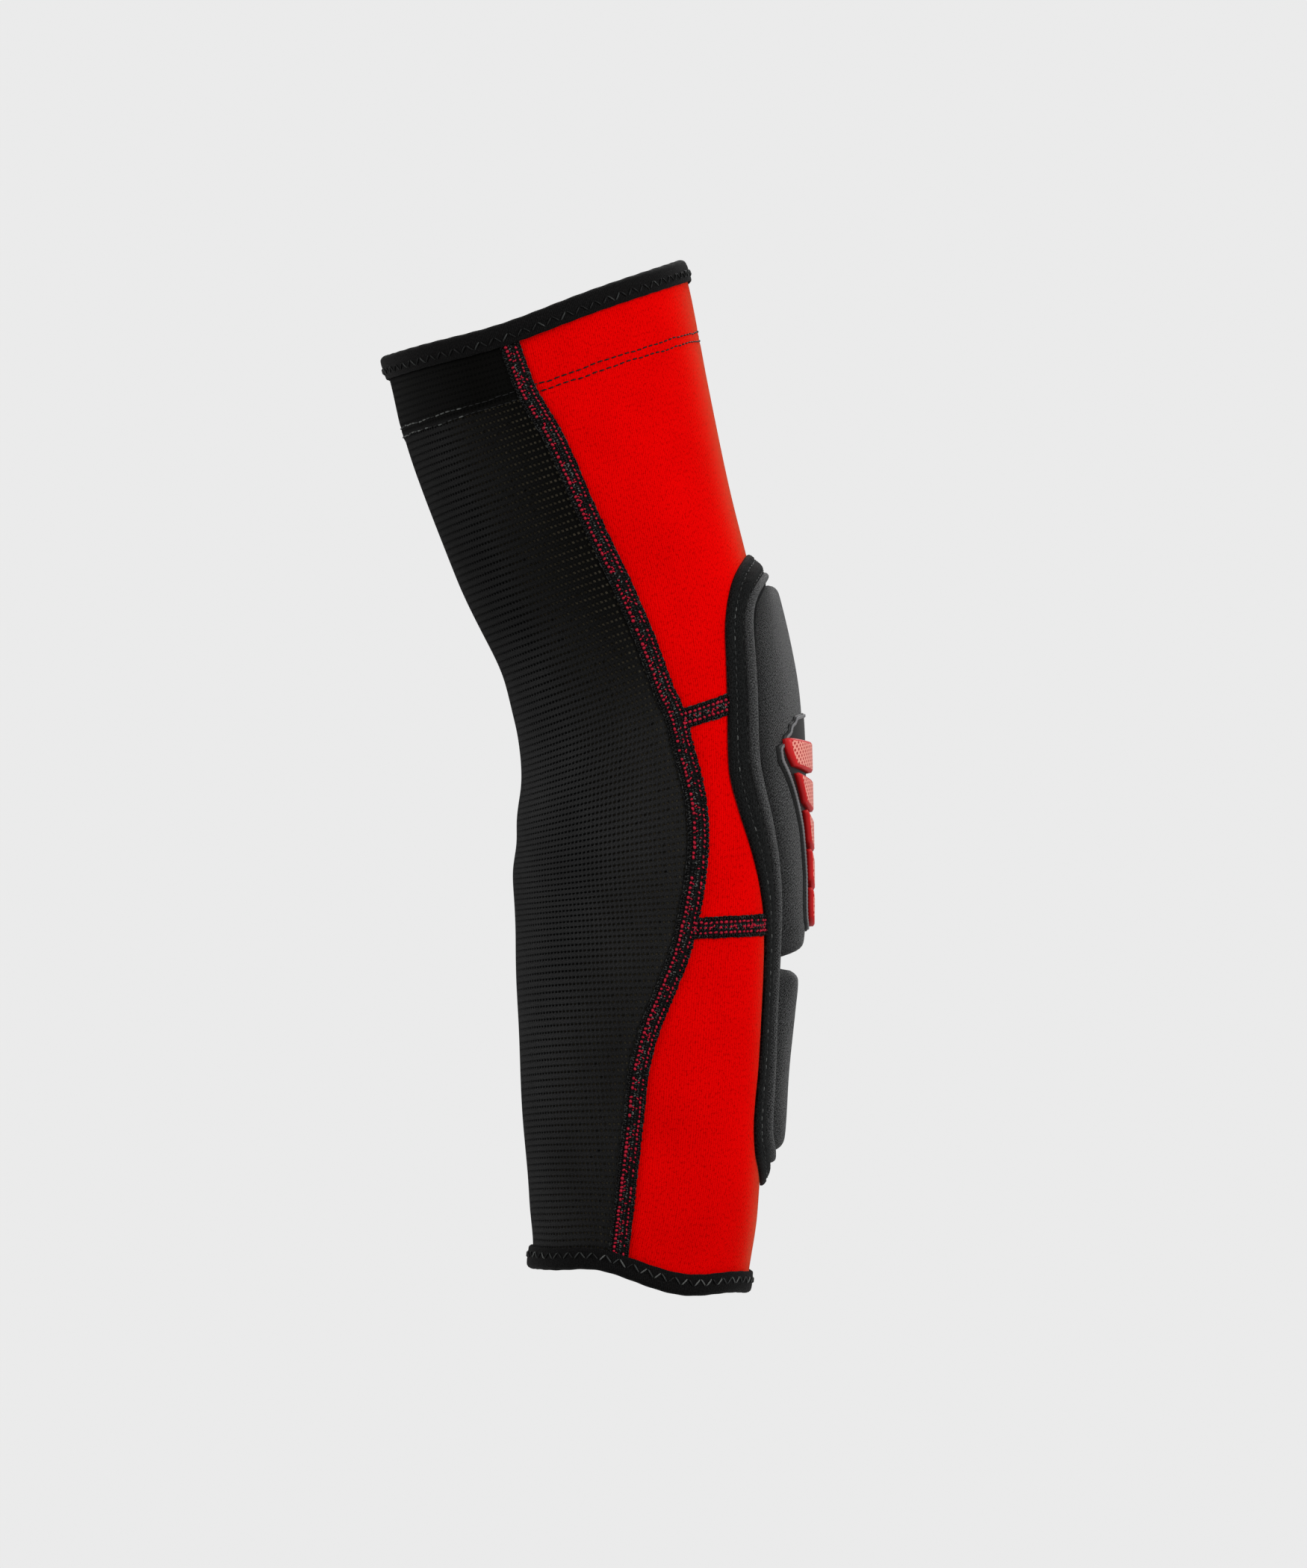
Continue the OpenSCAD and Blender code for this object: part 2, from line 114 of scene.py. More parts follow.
def smooth(z, table, column=1):
    """Smooth curve through one column of a table, as the CAD's sections are joined."""
    knots = table[:, 0]
    z = np.clip(z, knots[0], knots[-1])
    i = np.clip(np.searchsorted(knots, z, side="right") - 1, 0, len(knots) - 2)
    d = knots[i + 1] - knots[i]
    s = (z - knots[i]) / d
    y, m = table[:, column], slopes(table)[:, column]
    return (y[i] * (1 + 2 * s) * (1 - s) ** 2 + m[i] * d * s * (1 - s) ** 2
            + y[i + 1] * s * s * (3 - 2 * s) + m[i + 1] * d * s * s * (s - 1))


def radius(z):
    return smooth(z, SPINE, 3)


def seam(z):
    return smooth(z, SEAM)


def step(x, low, high):
    """0 below low, 1 above high, and smooth between."""
    t = np.clip((x - low) / (high - low), 0, 1)
    return t * t * (3 - 2 * t)


def hill(x, middle, width):
    return np.exp(-(((x - middle) / width) ** 2))


def turned(a):
    """Angle from the back as 0 to 180, the same on both sides."""
    return np.abs((np.asarray(a, float) + 180) % 360 - 180)


def hem_shift(z, a):
    """The hems aren't cut flat: the upper one dips at the seams, and the lower one hangs at the back."""
    t = turned(a)
    side = np.sin(np.radians(t))
    upper = -2.0 * side - 1.4 * hill(t, 103, 26)
    lower = 1.5 * side + 1.7 * hill(t, 114, 20) - 2.9 * hill(t, 66, 26)
    return upper * step(z, 96, 134) + lower * step(-z, 118, 146)


def ripple(z, a):
    """Soft unevenness of the knit, none under the pad and at the hems."""
    t = turned(a)
    ends = step(z, LOWER_END + 6, LOWER_END + 22) * step(-z, -UPPER_END + 6, -UPPER_END + 26)
    open_side = step(t, 55, 80) * ends
    crook = hill(z, 4, 30) * step(t, 110, 150)
    wide = np.sin(z / 7.3 + 1.7 * np.sin(np.radians(a) * 2 + z / 31)) * np.sin(z / 19 + np.radians(a) * 3)
    return open_side * (0.28 * wide + 0.22 * crook * np.sin(z / 3.1 + np.radians(a)))


def skin(z, a, h):
    """Points of the sleeve in metres."""
    z, a, h = np.broadcast_arrays(np.asarray(z, float), a, h)
    z = z + hem_shift(z, a)
    shift, tilt, r, power = (smooth(z, SPINE, k) for k in (1, 2, 3, 4))
    tilt = np.radians(tilt)
    c, s = np.cos(np.radians(a)), np.sin(np.radians(a))
    squared = (np.maximum(c, 0) ** power + np.abs(s) ** power) ** (-1 / power)
    r = r * np.where(c > 0, squared, 1) + h + ripple(z, a)
    return np.stack([shift + r * c * np.cos(tilt), r * s, z + r * c * np.sin(tilt)], -1) * MM


def to_angle(u, z):
    return np.degrees(u / radius(z))


def piece(name, points, faces, materials, weave=None, which=None, place=None):
    """A mesh object. weave and place are coordinates for each point, which the material of each face."""
    mesh = bpy.data.meshes.new(name)
    mesh.from_pydata(np.reshape(points, (-1, 3)).tolist(), [], faces)
    for material in materials:
        mesh.materials.append(material)
    if which is not None:
        mesh.polygons.foreach_set("material_index", np.asarray(which, np.int32))
    corner = np.zeros(len(mesh.loops), np.int32)
    mesh.loops.foreach_get("vertex_index", corner)
    for word, values in (("weave", weave), ("place", place)):
        if values is not None:
            layer = mesh.uv_layers.new(name=word)
            layer.data.foreach_set("uv", np.reshape(values, (-1, 2))[corner].astype(np.float32).ravel())
    work = bmesh.new()
    work.from_mesh(mesh)
    bmesh.ops.remove_doubles(work, verts=work.verts, dist=1e-6)
    bmesh.ops.recalc_face_normals(work, faces=work.faces)
    work.to_mesh(mesh)
    work.free()
    mesh.polygons.foreach_set("use_smooth", [True] * len(mesh.polygons))
    obj = bpy.data.objects.new(name, mesh)
    bpy.context.scene.collection.objects.link(obj)
    return obj


def bends(obj, slot, *nodes):
    """The piece stands for CAD nodes, which it hides, and its place is baked into its mesh."""
    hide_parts(*nodes)
    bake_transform(obj)


def rides(obj, body, slot, *nodes):
    """The piece stands for CAD nodes and moves with one body."""
    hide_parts(*nodes)
    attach(obj, body)


# ---------------------------------------------------------------- materials

class Look:
    """A material with short calls for its nodes. A value or another node's output goes into any input."""

    def __init__(self, name, **fixed):
        self.material = bpy.data.materials.new(name)
        self.material.use_nodes = True
        self.tree = self.material.node_tree
        self.tree.nodes.clear()
        self.shader = self.tree.nodes.new("ShaderNodeBsdfPrincipled")
        out = self.tree.nodes.new("ShaderNodeOutputMaterial")
        self.tree.links.new(self.shader.outputs[0], out.inputs[0])
        for key, value in fixed.items():
            self.shader.inputs[key.replace("_", " ")].default_value = value

    def feed(self, socket, value):
        if isinstance(value, bpy.types.NodeSocket):
            self.tree.links.new(value, socket)
        else:
            socket.default_value = value

    def node(self, kind, inputs=(), **settings):
        made = self.tree.nodes.new("ShaderNode" + kind)
        for key, value in settings.items():
            setattr(made, key, value)
        for key, value in dict(inputs).items():
            self.feed(made.inputs[key], value)
        return made

    def math(self, operation, *values, clamp=False):
        made = self.node("Math", operation=operation, use_clamp=clamp)
        for socket, value in zip(made.inputs, values):
            self.feed(socket, value)
        return made.outputs[0]

    def times(self, a, b):
        return self.math("MULTIPLY", a, b)

    def plus(self, a, b):
        return self.math("ADD", a, b)

    def between(self, value, low, high):
        """0 where value is at low, 1 at high, and limited to that."""
        made = self.node("MapRange", {"Value": value, "From Min": low, "From Max": high})
        return made.outputs[0]

    def mix(self, share, a, b):
        made = self.node("Mix", data_type="RGBA")
        for index, value in ((0, share), (6, a), (7, b)):
            self.feed(made.inputs[index], (*value, 1) if isinstance(value, tuple) else value)
        return made.outputs[2]

    def weave(self, layer="weave"):
        """One layer of the piece's coordinates, and its two numbers apart."""
        uv = self.node("UVMap", uv_map=layer).outputs[0]
        apart = self.node("SeparateXYZ", {"Vector": uv})
        return uv, apart.outputs[0], apart.outputs[1]

    def scaled(self, vector, x, y):
        made = self.node("VectorMath", {0: vector, 1: (x, y, 1)}, operation="MULTIPLY")
        return made.outputs[0]

    def noise(self, vector, scale, detail=2.0, rough=0.6):
        inputs = {"Vector": vector, "Scale": scale, "Detail": detail, "Roughness": rough}
        return self.node("TexNoise", inputs).outputs["Fac"]

    def hump(self, x):
        """0 at whole numbers of x and 1 half way between them."""
        return self.plus(self.times(self.math("COSINE", self.times(x, 2 * math.pi)), -0.5), 0.5)

    def done(self, colour, height=None, strength=0.5, depth=0.3, roughness=None):
        self.feed(self.shader.inputs["Base Color"], (*colour, 1) if isinstance(colour, tuple) else colour)
        if roughness is not None:
            self.feed(self.shader.inputs["Roughness"], roughness)
        if height is not None:
            bump = self.node("Bump", {"Height": height, "Strength": strength, "Distance": depth * MM})
            self.feed(self.shader.inputs["Normal"], bump.outputs[0])
        return self.material


def mesh_knit():
    """Open charcoal knit with rows of flat holes. Painted shade makes it near-black beside the seams, more
    so on the upper arm; the holes are painted near-black with pale painted specks of light.
    """
    look = Look("open_mesh_knit", Roughness=0.85, Specular_IOR_Level=0.03, Sheen_Weight=0.025,
                Sheen_Roughness=0.35)
    uv, u, v = look.weave()
    _, away, z = look.weave("place")
    row = look.between(look.hump(v), 0.62, 0.93)
    hole = look.times(row, look.between(look.hump(u), 0.0, 0.6))
    yarn = look.noise(look.scaled(uv, 2.4, 4.2), 1.7, 4.0, 0.75)
    patch = look.noise(uv, 0.05, 2.0)
    # upper and dark are masks of painted shade: it grows towards the seams and is stronger on the upper
    # arm.
    upper = look.between(z, 0.1, 0.55)
    dark = look.times(look.between(away, 3.4, 0.6), look.plus(look.times(upper, 0.45), 0.5))
    dense = look.between(z, 1.128, 1.14)
    # Over the gripper band the knit is also darker beside the seams.
    dark = look.math("MAXIMUM", dark, look.times(dense, look.between(away, 4.5, 1.5)))
    web = look.mix(look.between(yarn, 0.3, 0.7), (0.002, 0.002, 0.0021), (0.056, 0.056, 0.0563))
    web = look.mix(look.times(look.between(patch, 0.35, 0.7), 0.35), web, (0.007, 0.007, 0.007))
    # black is the web's colour under painted shade.
    black = look.mix(look.between(yarn, 0.3, 0.7), (0.0005, 0.0005, 0.0005), (0.006, 0.0058, 0.0052))
    web = look.mix(dark, web, black)
    # Painted shade darkens the web on the upper arm; the web is also darker over the gripper band.
    web = look.mix(look.plus(look.times(upper, 0.45), look.times(dense, 0.3)), web, black)
    open_hole = look.plus(1.0, look.times(dense, -1.0))
    # lit marks pale specks of painted light in the holes, only where painted shade lies beside the seams
    # and not over the gripper band.
    lit = look.times(look.times(dark, open_hole), look.between(look.noise(uv, 0.9, 1.0), 0.22, 0.62))
    lit = look.times(lit, look.between(look.hump(u), 0.35, 0.75))
    # The holes' colour: near-black painted shade of the sleeve's inside, with the pale specks of painted
    # light.
    hole_shade_and_glint = look.mix(lit, (0.0005, 0.0005, 0.0005), (0.07, 0.06, 0.042))
    hole = look.times(hole, look.plus(1.0, look.times(dense, -0.55)))
    height = look.plus(look.times(hole, -1.0), look.times(yarn, 0.45))
    return look.done(look.mix(hole, web, hole_shade_and_glint), height, 0.5, 0.35)


def red_knit():
    """Fine ribbed red knit with a brushed, coral edge; painted shade darkens the grooves of its ribs and
    courses.
    """
    look = Look("red_ribbed_knit", Roughness=0.95, Specular_IOR_Level=0.0, Sheen_Weight=1.0,
                Sheen_Roughness=0.25, Sheen_Tint=(1.0, 0.42, 0.2, 1))
    uv, u, v = look.weave()
    sway = look.times(look.noise(uv, 0.08, 1.0), 1.2)
    rib = look.hump(look.plus(u, sway))
    course = look.hump(look.plus(v, look.times(look.math("ROUND", u), 0.5)))
    fleck = look.noise(look.scaled(uv, 0.9, 0.45), 1.3, 3.0, 0.7)
    # shade is broad blotches of darker tone at random.
    shade = look.noise(look.scaled(uv, 0.03, 0.02), 1.0, 2.0)
    # dark: painted shade in the grooves of the ribs and courses, with dark flecks and blotches at random.
    dark = look.plus(look.times(rib, 0.35), look.times(look.between(fleck, 0.5, 0.68), 0.75))
    dark = look.plus(dark, look.times(course, 0.12))
    dark = look.plus(dark, look.times(look.between(shade, 0.4, 0.75), 0.18))
    colour = look.mix(dark, (0.93, 0.001, 0.001), (0.46, 0.0, 0.0))
    height = look.plus(look.times(rib, -1.0), look.plus(look.times(fleck, 0.5), look.times(course, -0.3)))
    return look.done(colour, height, 0.35, 0.14)


def ribbed_cloth(name, dark, pale, depth, strength):
    """Fine upright ribs with small links across them, for the tapes, the flange and the elastic. The raised
    ribs and links are painted paler as a painted highlight.
    """
    look = Look(name, Roughness=0.8, Specular_IOR_Level=0.06, Sheen_Weight=0.05, Sheen_Roughness=0.4)
    uv, u, v = look.weave()
    rib = look.hump(u)
    link = look.hump(look.plus(v, look.times(look.math("ROUND", u), 0.5)))
    fibre = look.noise(look.scaled(uv, 1.1, 0.8), 1.2, 3.0, 0.7)
    # light: painted highlight on the raised ribs and links, plus paler fibre flecks at random.
    light = look.plus(look.times(rib, 0.25), look.times(look.times(link, rib), 0.55))
    light = look.plus(light, look.between(fibre, 0.42, 0.72))
    colour = look.mix(look.between(light, 0.25, 1.4), dark, pale)
    return look.done(colour, look.plus(light, look.times(fibre, 0.4)), strength, depth)


def pad_cloth():
    """Pebbled cloth of the blocks and the ridge: a fine broken twill of small beads. The raised beads are
    painted paler as a painted highlight, among pale flecks at random.
    """
    look = Look("pebbled_pad_cloth", Roughness=0.65, Specular_IOR_Level=0.2, Sheen_Weight=0.25,
                Sheen_Roughness=0.35)
    uv, u, v = look.weave()
    warp = look.times(look.noise(uv, 1.1, 2.0), 0.55)
    rib = look.hump(look.plus(look.plus(look.times(u, 1.3), look.times(v, 0.95)), warp))
    bead = look.hump(look.plus(look.plus(look.times(u, 0.85), look.times(v, -1.15)), look.times(warp, 1.6)))
    fleck = look.between(look.noise(uv, 2.1, 3.0, 0.75), 0.43, 0.62)
    # light: painted highlight on the raised beads, plus pale flecks at random.
    light = look.plus(look.times(look.times(rib, bead), 0.55), look.times(fleck, 0.85))
    colour = look.mix(look.between(light, 0.15, 1.2), (0.005, 0.0052, 0.0052), (0.15, 0.153, 0.155))
    return look.done(colour, light, 1.0, 0.34)


def thread(name, colour, roughness=0.45):
    """Sewing thread with a fine twist."""
    look = Look(name, Roughness=roughness, Specular_IOR_Level=0.2)
    spot = look.node("TexCoord").outputs["Object"]
    twist = look.noise(spot, 1900.0, 2.0)
    shaded = tuple(c * 0.55 for c in colour)
    return look.done(look.mix(look.between(twist, 0.35, 0.65), shaded, colour), twist, 0.3, 0.05)


def rubber(name, colour, worn, roughness):
    """Soft moulded rubber with a very fine grain."""
    look = Look(name, Specular_IOR_Level=0.4)
    spot = look.node("TexCoord").outputs["Object"]
    grain = look.noise(spot, 2600.0, 3.0)
    broad = look.noise(spot, 90.0, 2.0)
    tone = look.mix(look.between(broad, 0.35, 0.7), colour, worn)
    return look.done(tone, grain, 0.15, 0.04, look.plus(look.times(grain, 0.2), roughness))


def dotted_face():
    """Pale face of a chevron with a grid of small red pits."""
    look = Look("badge_dotted_face", Roughness=0.5, Specular_IOR_Level=0.4)
    uv, u, v = look.weave()
    pit = look.between(look.times(look.hump(u), look.hump(v)), 0.28, 0.5)
    grain = look.noise(uv, 3.0, 2.0)
    pale = look.mix(look.between(grain, 0.3, 0.7), (0.86, 0.27, 0.21), (0.93, 0.37, 0.3))
    return look.done(look.mix(pit, pale, (0.42, 0.004, 0.004)), look.times(pit, -1.0), 0.5, 0.25)


MESH_KNIT = mesh_knit()
RED_KNIT = red_knit()
HEM_TAPE = ribbed_cloth("hem_tape", (0.0015, 0.0014, 0.0014), (0.012, 0.0115, 0.0115), 0.18, 0.5)
FLANGE_KNIT = ribbed_cloth("flange_knit", (0.001, 0.0011, 0.0011), (0.025, 0.0265, 0.0265), 0.12, 0.6)
ELASTIC = ribbed_cloth("elastic", (0.004, 0.004, 0.004), (0.025, 0.025, 0.025), 0.3, 0.6)
PAD_CLOTH = pad_cloth()
SILICONE = rubber("silicone", (0.45, 0.45, 0.45), (0.4, 0.4, 0.41), 0.3)
BLACK_THREAD = thread("black_thread", (0.005, 0.005, 0.005))
# Copies of the black thread in grey and pale: painted highlights.
BLACK_THREAD_SOFT_HIGHLIGHT = thread("black_thread_soft_highlight", (0.035, 0.037, 0.036))
BLACK_THREAD_BRIGHT_HIGHLIGHT = thread("black_thread_bright_highlight", (0.12, 0.125, 0.12))
RED_THREAD = thread("red_thread", (0.55, 0.006, 0.035))
SEAM_COVER = thread("seam_cover", (0.0025, 0.0025, 0.0025), 0.9)
BADGE_BLACK = rubber("badge_black", (0.004, 0.004, 0.004), (0.007, 0.007, 0.007), 0.4)
BADGE_GREY = rubber("badge_grey", (0.15, 0.15, 0.155), (0.21, 0.21, 0.215), 0.45)
BADGE_RED = rubber("badge_red", (0.68, 0.004, 0.006), (0.55, 0.003, 0.004), 0.35)
BADGE_FACE = dotted_face()
# DARK_THREADS: the black thread and its two painted-highlight copies.
DARK_THREADS = [BLACK_THREAD, BLACK_THREAD_SOFT_HIGHLIGHT, BLACK_THREAD_BRIGHT_HIGHLIGHT]


# ---------------------------------------------------------------- knit panels

# Distances between the columns and rows of points, and the red knit's rib and course.
MESH_COLUMN, MESH_ROW = 0.68, 1.0
RED_COLUMN, RED_ROW = 1.3, 1.0
RED_UNIT = (0.65, 0.55)


def walls(outer, inner):
    """Faces that join the edges of two grids of point numbers, the inner one as fine or half as fine."""
    faces = []
    ratio = (outer.shape[0] - 1) // (inner.shape[0] - 1)
    for far, near in ((outer[0], inner[0]), (outer[-1], inner[-1]),
                      (outer[:, 0], inner[:, 0]), (outer[:, -1], inner[:, -1])):
        for k in range(len(near) - 1):
            run = far[k * ratio:(k + 1) * ratio + 1].tolist()
            faces.append([*run, int(near[k + 1]), int(near[k])])
    return faces


def grid_faces(ids):
    """Faces over a grid of point numbers, or over a stack of such grids."""
    corners = [ids[..., :-1, :-1], ids[..., :-1, 1:], ids[..., 1:, 1:], ids[..., 1:, :-1]]
    return np.stack(corners, -1).reshape(-1, 4).tolist()


def numbered(points):
    """Point numbers, laid out as the points are."""
    return np.arange(points[..., 0].size).reshape(points.shape[:-1])


def joined(ids):
    """Point numbers with the first column again at the end, so that rows close to rings."""
    return np.concatenate([ids, ids[..., :1]], -1)


def no_slant(z, a):
    return 0 * z


def row_slant(z, a):
    """Rows of the mesh rise from the crook's line towards the seams on the forearm."""
    return 3.2 * np.abs(np.sin(np.radians(a))) * step(-z, 20, 62) * step(z, LOWER_END + 1.5, LOWER_END + 26)


def knit_panel(name, material, centre, reach, low, high, column, row, unit, height,
               slant=no_slant, coarse=1):
    """Closed knit panel with even columns and rows, trimmed where reach says that its seams run."""
    rows = 2 * round((high - low) / row / 2)
    z = np.linspace(low, high, rows + 1)[:, None]
    limit = reach(z)
    half = 2 * math.ceil(float((np.radians(limit) * radius(z)).max()) / column / 2)
    index = np.arange(-half, half + 1)[None, :]
    even_z, angle = z, to_angle(index * column, z)
    z = z + slant(z, np.clip(angle, -limit, limit))
    limit = reach(z)
    whole = np.abs(angle) < limit
    angle = np.clip(angle, -limit, limit)
    odd = (np.arange(rows + 1)[:, None] % 2) * (index % 2) * whole
    outer = skin(z, angle + centre, height(z, angle + centre, odd))
    inner = skin(z, angle + centre, -KNIT)[::coarse, ::coarse]
    weave = np.stack(np.broadcast_arrays(index * column / unit[0], (even_z - low) / unit[1]), -1)
    away = (limit - np.abs(angle)) * np.radians(radius(z)) / 10
    place = np.stack(np.broadcast_arrays(away, z / 100), -1)
    ids = numbered(outer)
    inner_ids = ids.size + numbered(inner)
    faces = grid_faces(ids) + grid_faces(inner_ids) + walls(ids, inner_ids)
    points = np.vstack([outer.reshape(-1, 3), inner.reshape(-1, 3)])
    uv, place = (np.vstack([layer.reshape(-1, 2), layer[::coarse, ::coarse].reshape(-1, 2)])
                 for layer in (weave, place))
    return piece(name, points, faces, [material], uv, None, place)


def pucker(z):
    """The knit is drawn down along the double stitch."""
    return -0.14 * (hill(z, BAND_LOW, 0.8) + hill(z, BAND_LOW + DOUBLE_STITCH, 0.8))


def beside_seam(z, a):
    """The back panels dip a little beside the flatlock seam."""
    away = (seam(z) - turned(a)) * np.radians(radius(z))
    return -0.25 * hill(away, 3.4, 1.0)


def mesh_height(z, a, odd):
    """A dimple at every odd point, shallower in the gripper band and beside the seams."""
    dense = 1 - 0.55 * step(z, BAND_LOW - 1, BAND_LOW + 4)
    beside = step((turned(a) - seam(z)) * np.radians(radius(z)), 3, 9)
    band = 0.35 * step(z, BAND_LOW - 1.4, BAND_LOW - 0.4)
    return pucker(z) + band - 0.7 * odd * dense * (0.45 + 0.55 * beside)


def red_height(z, a, odd):
    return pucker(z) + beside_seam(z, a)


def hem_to_hem(z):
    return 180 - seam(z) - 0.25


def back_reach(z):
    return seam(z) - 0.25


def mesh_panel():
    """The open knit round the crook, in one piece from hem to hem."""
    unit = (2 * MESH_COLUMN, 2 * MESH_ROW)
    panel = knit_panel("mesh_panel", MESH_KNIT, 180, hem_to_hem, LOWER_END + TUCKED, UPPER_END - TUCKED,
                       MESH_COLUMN, MESH_ROW, unit, mesh_height, row_slant, coarse=2)
    bends(panel, "mesh_knit", "upper_mesh_panel", "elbow_mesh_panel", "forearm_mesh_panel")


def back_panel(name, low, high):
    """One of the red panels behind the arm."""
    panel = knit_panel(name, RED_KNIT, 0, back_reach, low, high, RED_COLUMN, RED_ROW, RED_UNIT, red_height)
    bends(panel, "red_knit", name)


mesh_panel()
back_panel("upper_back_panel", UPPER_SEAM + 0.2, UPPER_END - TUCKED)
back_panel("elbow_gusset", LOWER_SEAM + 0.2, UPPER_SEAM - 0.2)
back_panel("forearm_back_panel", LOWER_END + TUCKED, LOWER_SEAM - 0.2)


# ---------------------------------------------------------------- shapes along a path

def along(path, loop):
    """Unit direction of a (z, angle) path at each point, as millimetres up and round."""
    path = np.asarray(path, float)
    if loop:
        ahead, back = np.roll(path, -1, 0), np.roll(path, 1, 0)
    else:
        ahead, back = np.vstack([path[1:], path[-1:]]), np.vstack([path[:1], path[:-1]])
    turn = (ahead[:, 1] - back[:, 1] + 180) % 360 - 180
    d = np.stack([ahead[:, 0] - back[:, 0], np.radians(turn) * radius(path[:, 0])], -1)
    return d / np.linalg.norm(d, axis=1, keepdims=True)


def beside(path, direction, side):
    """The path moved sideways, to the right of its direction."""
    z = path[:, 0] + direction[:, 1] * side
    return np.stack([z, path[:, 1] - np.degrees(direction[:, 0] * side / radius(path[:, 0]))], -1)


def sweep(name, material, path, section, loop=False, lift=0.0, unit=(1.0, 1.0)):
    """Closed solid swept along a (z, angle) path.

    section is a ring of (side, height), and lift raises its top.
    """
    path = np.asarray(path, float)
    direction = along(path, loop)
    low, high = section[:, 1].min(), section[:, 1].max()
    rings = []
    for side, height in section:
        moved = beside(path, direction, side)
        rings.append(skin(moved[:, 0], moved[:, 1], height + lift * (height - low) / (high - low)))
    points = np.stack(rings, 1)
    ids = numbered(points)
    ring = joined(ids)
    if loop:
        ring = np.vstack([ring, ring[:1]])
    faces = grid_faces(ring)
    if not loop:
        faces += [ids[0].tolist(), ids[-1, ::-1].tolist()]
    length = np.cumsum(np.r_[0, np.linalg.norm(np.diff(points[:, 0], axis=0), axis=1)]) / MM
    around = np.cumsum(np.r_[0, np.linalg.norm(np.diff(section, axis=0), axis=1)])
    weave = np.stack(np.meshgrid(around / unit[0], length / unit[1]), -1)
    return piece(name, points, faces, [material], weave)


def half_round(width, foot, top, count=9):
    """Section ring with a flat foot and a round back."""
    t = np.linspace(math.pi, 0, count)
    bow = np.stack([np.cos(t) * width / 2, foot + (top - foot) * (0.22 + 0.78 * np.sin(t) ** 0.8)], -1)
    return np.vstack([[-width / 2, foot], bow, [width / 2, foot]])


def grains(starts, ends, thick, foot, crown, rise=0.0, sides=5):
    """Points and faces of short threads lying on the sleeve, low at both ends, one for each start."""
    t = np.array([0.0, 0.22, 0.78, 1.0])
    girth = np.array([0.35, 1.0, 1.0, 0.35])
    starts, ends = np.asarray(starts, float), np.asarray(ends, float)
    way = starts[:, None] + (ends - starts)[:, None] * t[None, :, None]
    height = foot + (crown - foot) * (1 - (2 * t - 1) ** 4) + np.reshape(rise, (-1, 1))
    centre = skin(way[..., 0], way[..., 1], height)
    out = skin(way[..., 0], way[..., 1], height + 1) - centre
    out /= np.linalg.norm(out, axis=-1, keepdims=True)
    run = centre[:, -1:] - centre[:, :1]
    run = run / np.linalg.norm(run, axis=-1, keepdims=True)
    across = np.cross(np.broadcast_to(run, out.shape), out)
    turn = np.arange(sides) * 2 * math.pi / sides
    round_it = (out[:, :, None] * np.cos(turn)[:, None] + across[:, :, None] * np.sin(turn)[:, None])
    size = np.broadcast_to(np.asarray(thick, float).reshape(-1, 1), (len(starts), 1)) / 2 * MM * girth
    points = centre[:, :, None] + round_it * size[:, :, None, None]
    ids = numbered(points)
    caps = ids[:, 0, ::-1].tolist() + ids[:, -1].tolist()
    each = np.arange(len(starts))
    owner = np.r_[np.repeat(each, (len(t) - 1) * sides), each, each]
    return points.reshape(-1, 3), grid_faces(joined(ids)) + caps, owner


def thread_piece(name, batches, materials):
    """One mesh of batches of short threads, each (points, faces, owner, material numbers)."""
    points, faces, which, base = [], [], [], 0
    for batch_points, batch_faces, owner, tones in batches:
        points.append(batch_points)
        faces += [[base + v for v in f] for f in batch_faces]
        which.append(np.asarray(tones)[owner])
        base += len(batch_points)
    return piece(name, np.vstack(points), faces, materials, None, np.concatenate(which))


def evenly(path, pitch, loop=False):
    """Points of a (z, angle) path an even distance apart."""
    path = np.asarray(path, float)
    if loop:
        path = np.vstack([path, path[:1] + [[0, 360 * round((path[-1, 1] - path[0, 1]) / 360)]]])
    d = np.diff(path, axis=0)
    d[:, 1] = np.radians(d[:, 1]) * radius(path[:-1, 0])
    length = np.r_[0, np.cumsum(np.linalg.norm(d, axis=1))]
    count = max(2, round(length[-1] / pitch))
    at = np.linspace(0, length[-1], count + 1)
    made = np.stack([np.interp(at, length, path[:, 0]), np.interp(at, length, path[:, 1])], -1)
    return made[:-1] if loop else made


def dashes(path, pitch, share, thick, foot, crown, ground, wobble=0.0):
    """A row of running stitches along a closed path, on a ground of given heights."""
    starts = evenly(path, pitch, True)
    ahead = np.roll(starts, -1, 0)
    turn = (ahead[:, 1] - starts[:, 1] + 180) % 360 - 180
    step_to = np.stack([ahead[:, 0] - starts[:, 0], turn], -1)
    starts = starts + np.stack([random.normal(0, wobble, len(starts)), np.zeros(len(starts))], -1)
    middle = starts + step_to * share / 2
    return grains(starts, starts + step_to * share, thick, foot, crown, ground(middle[:, 0], middle[:, 1]))


# ---------------------------------------------------------------- flatlock seams

# Offsets from a seam's middle: both ends of each row of loops, and the edge thread.
NEEDLE_PITCH = 1.36
LOOPS = ((-2.7, -1.9), (-0.75, -0.1), (0.05, 0.75), (1.95, 2.7))
SEAM_EDGE = 2.85


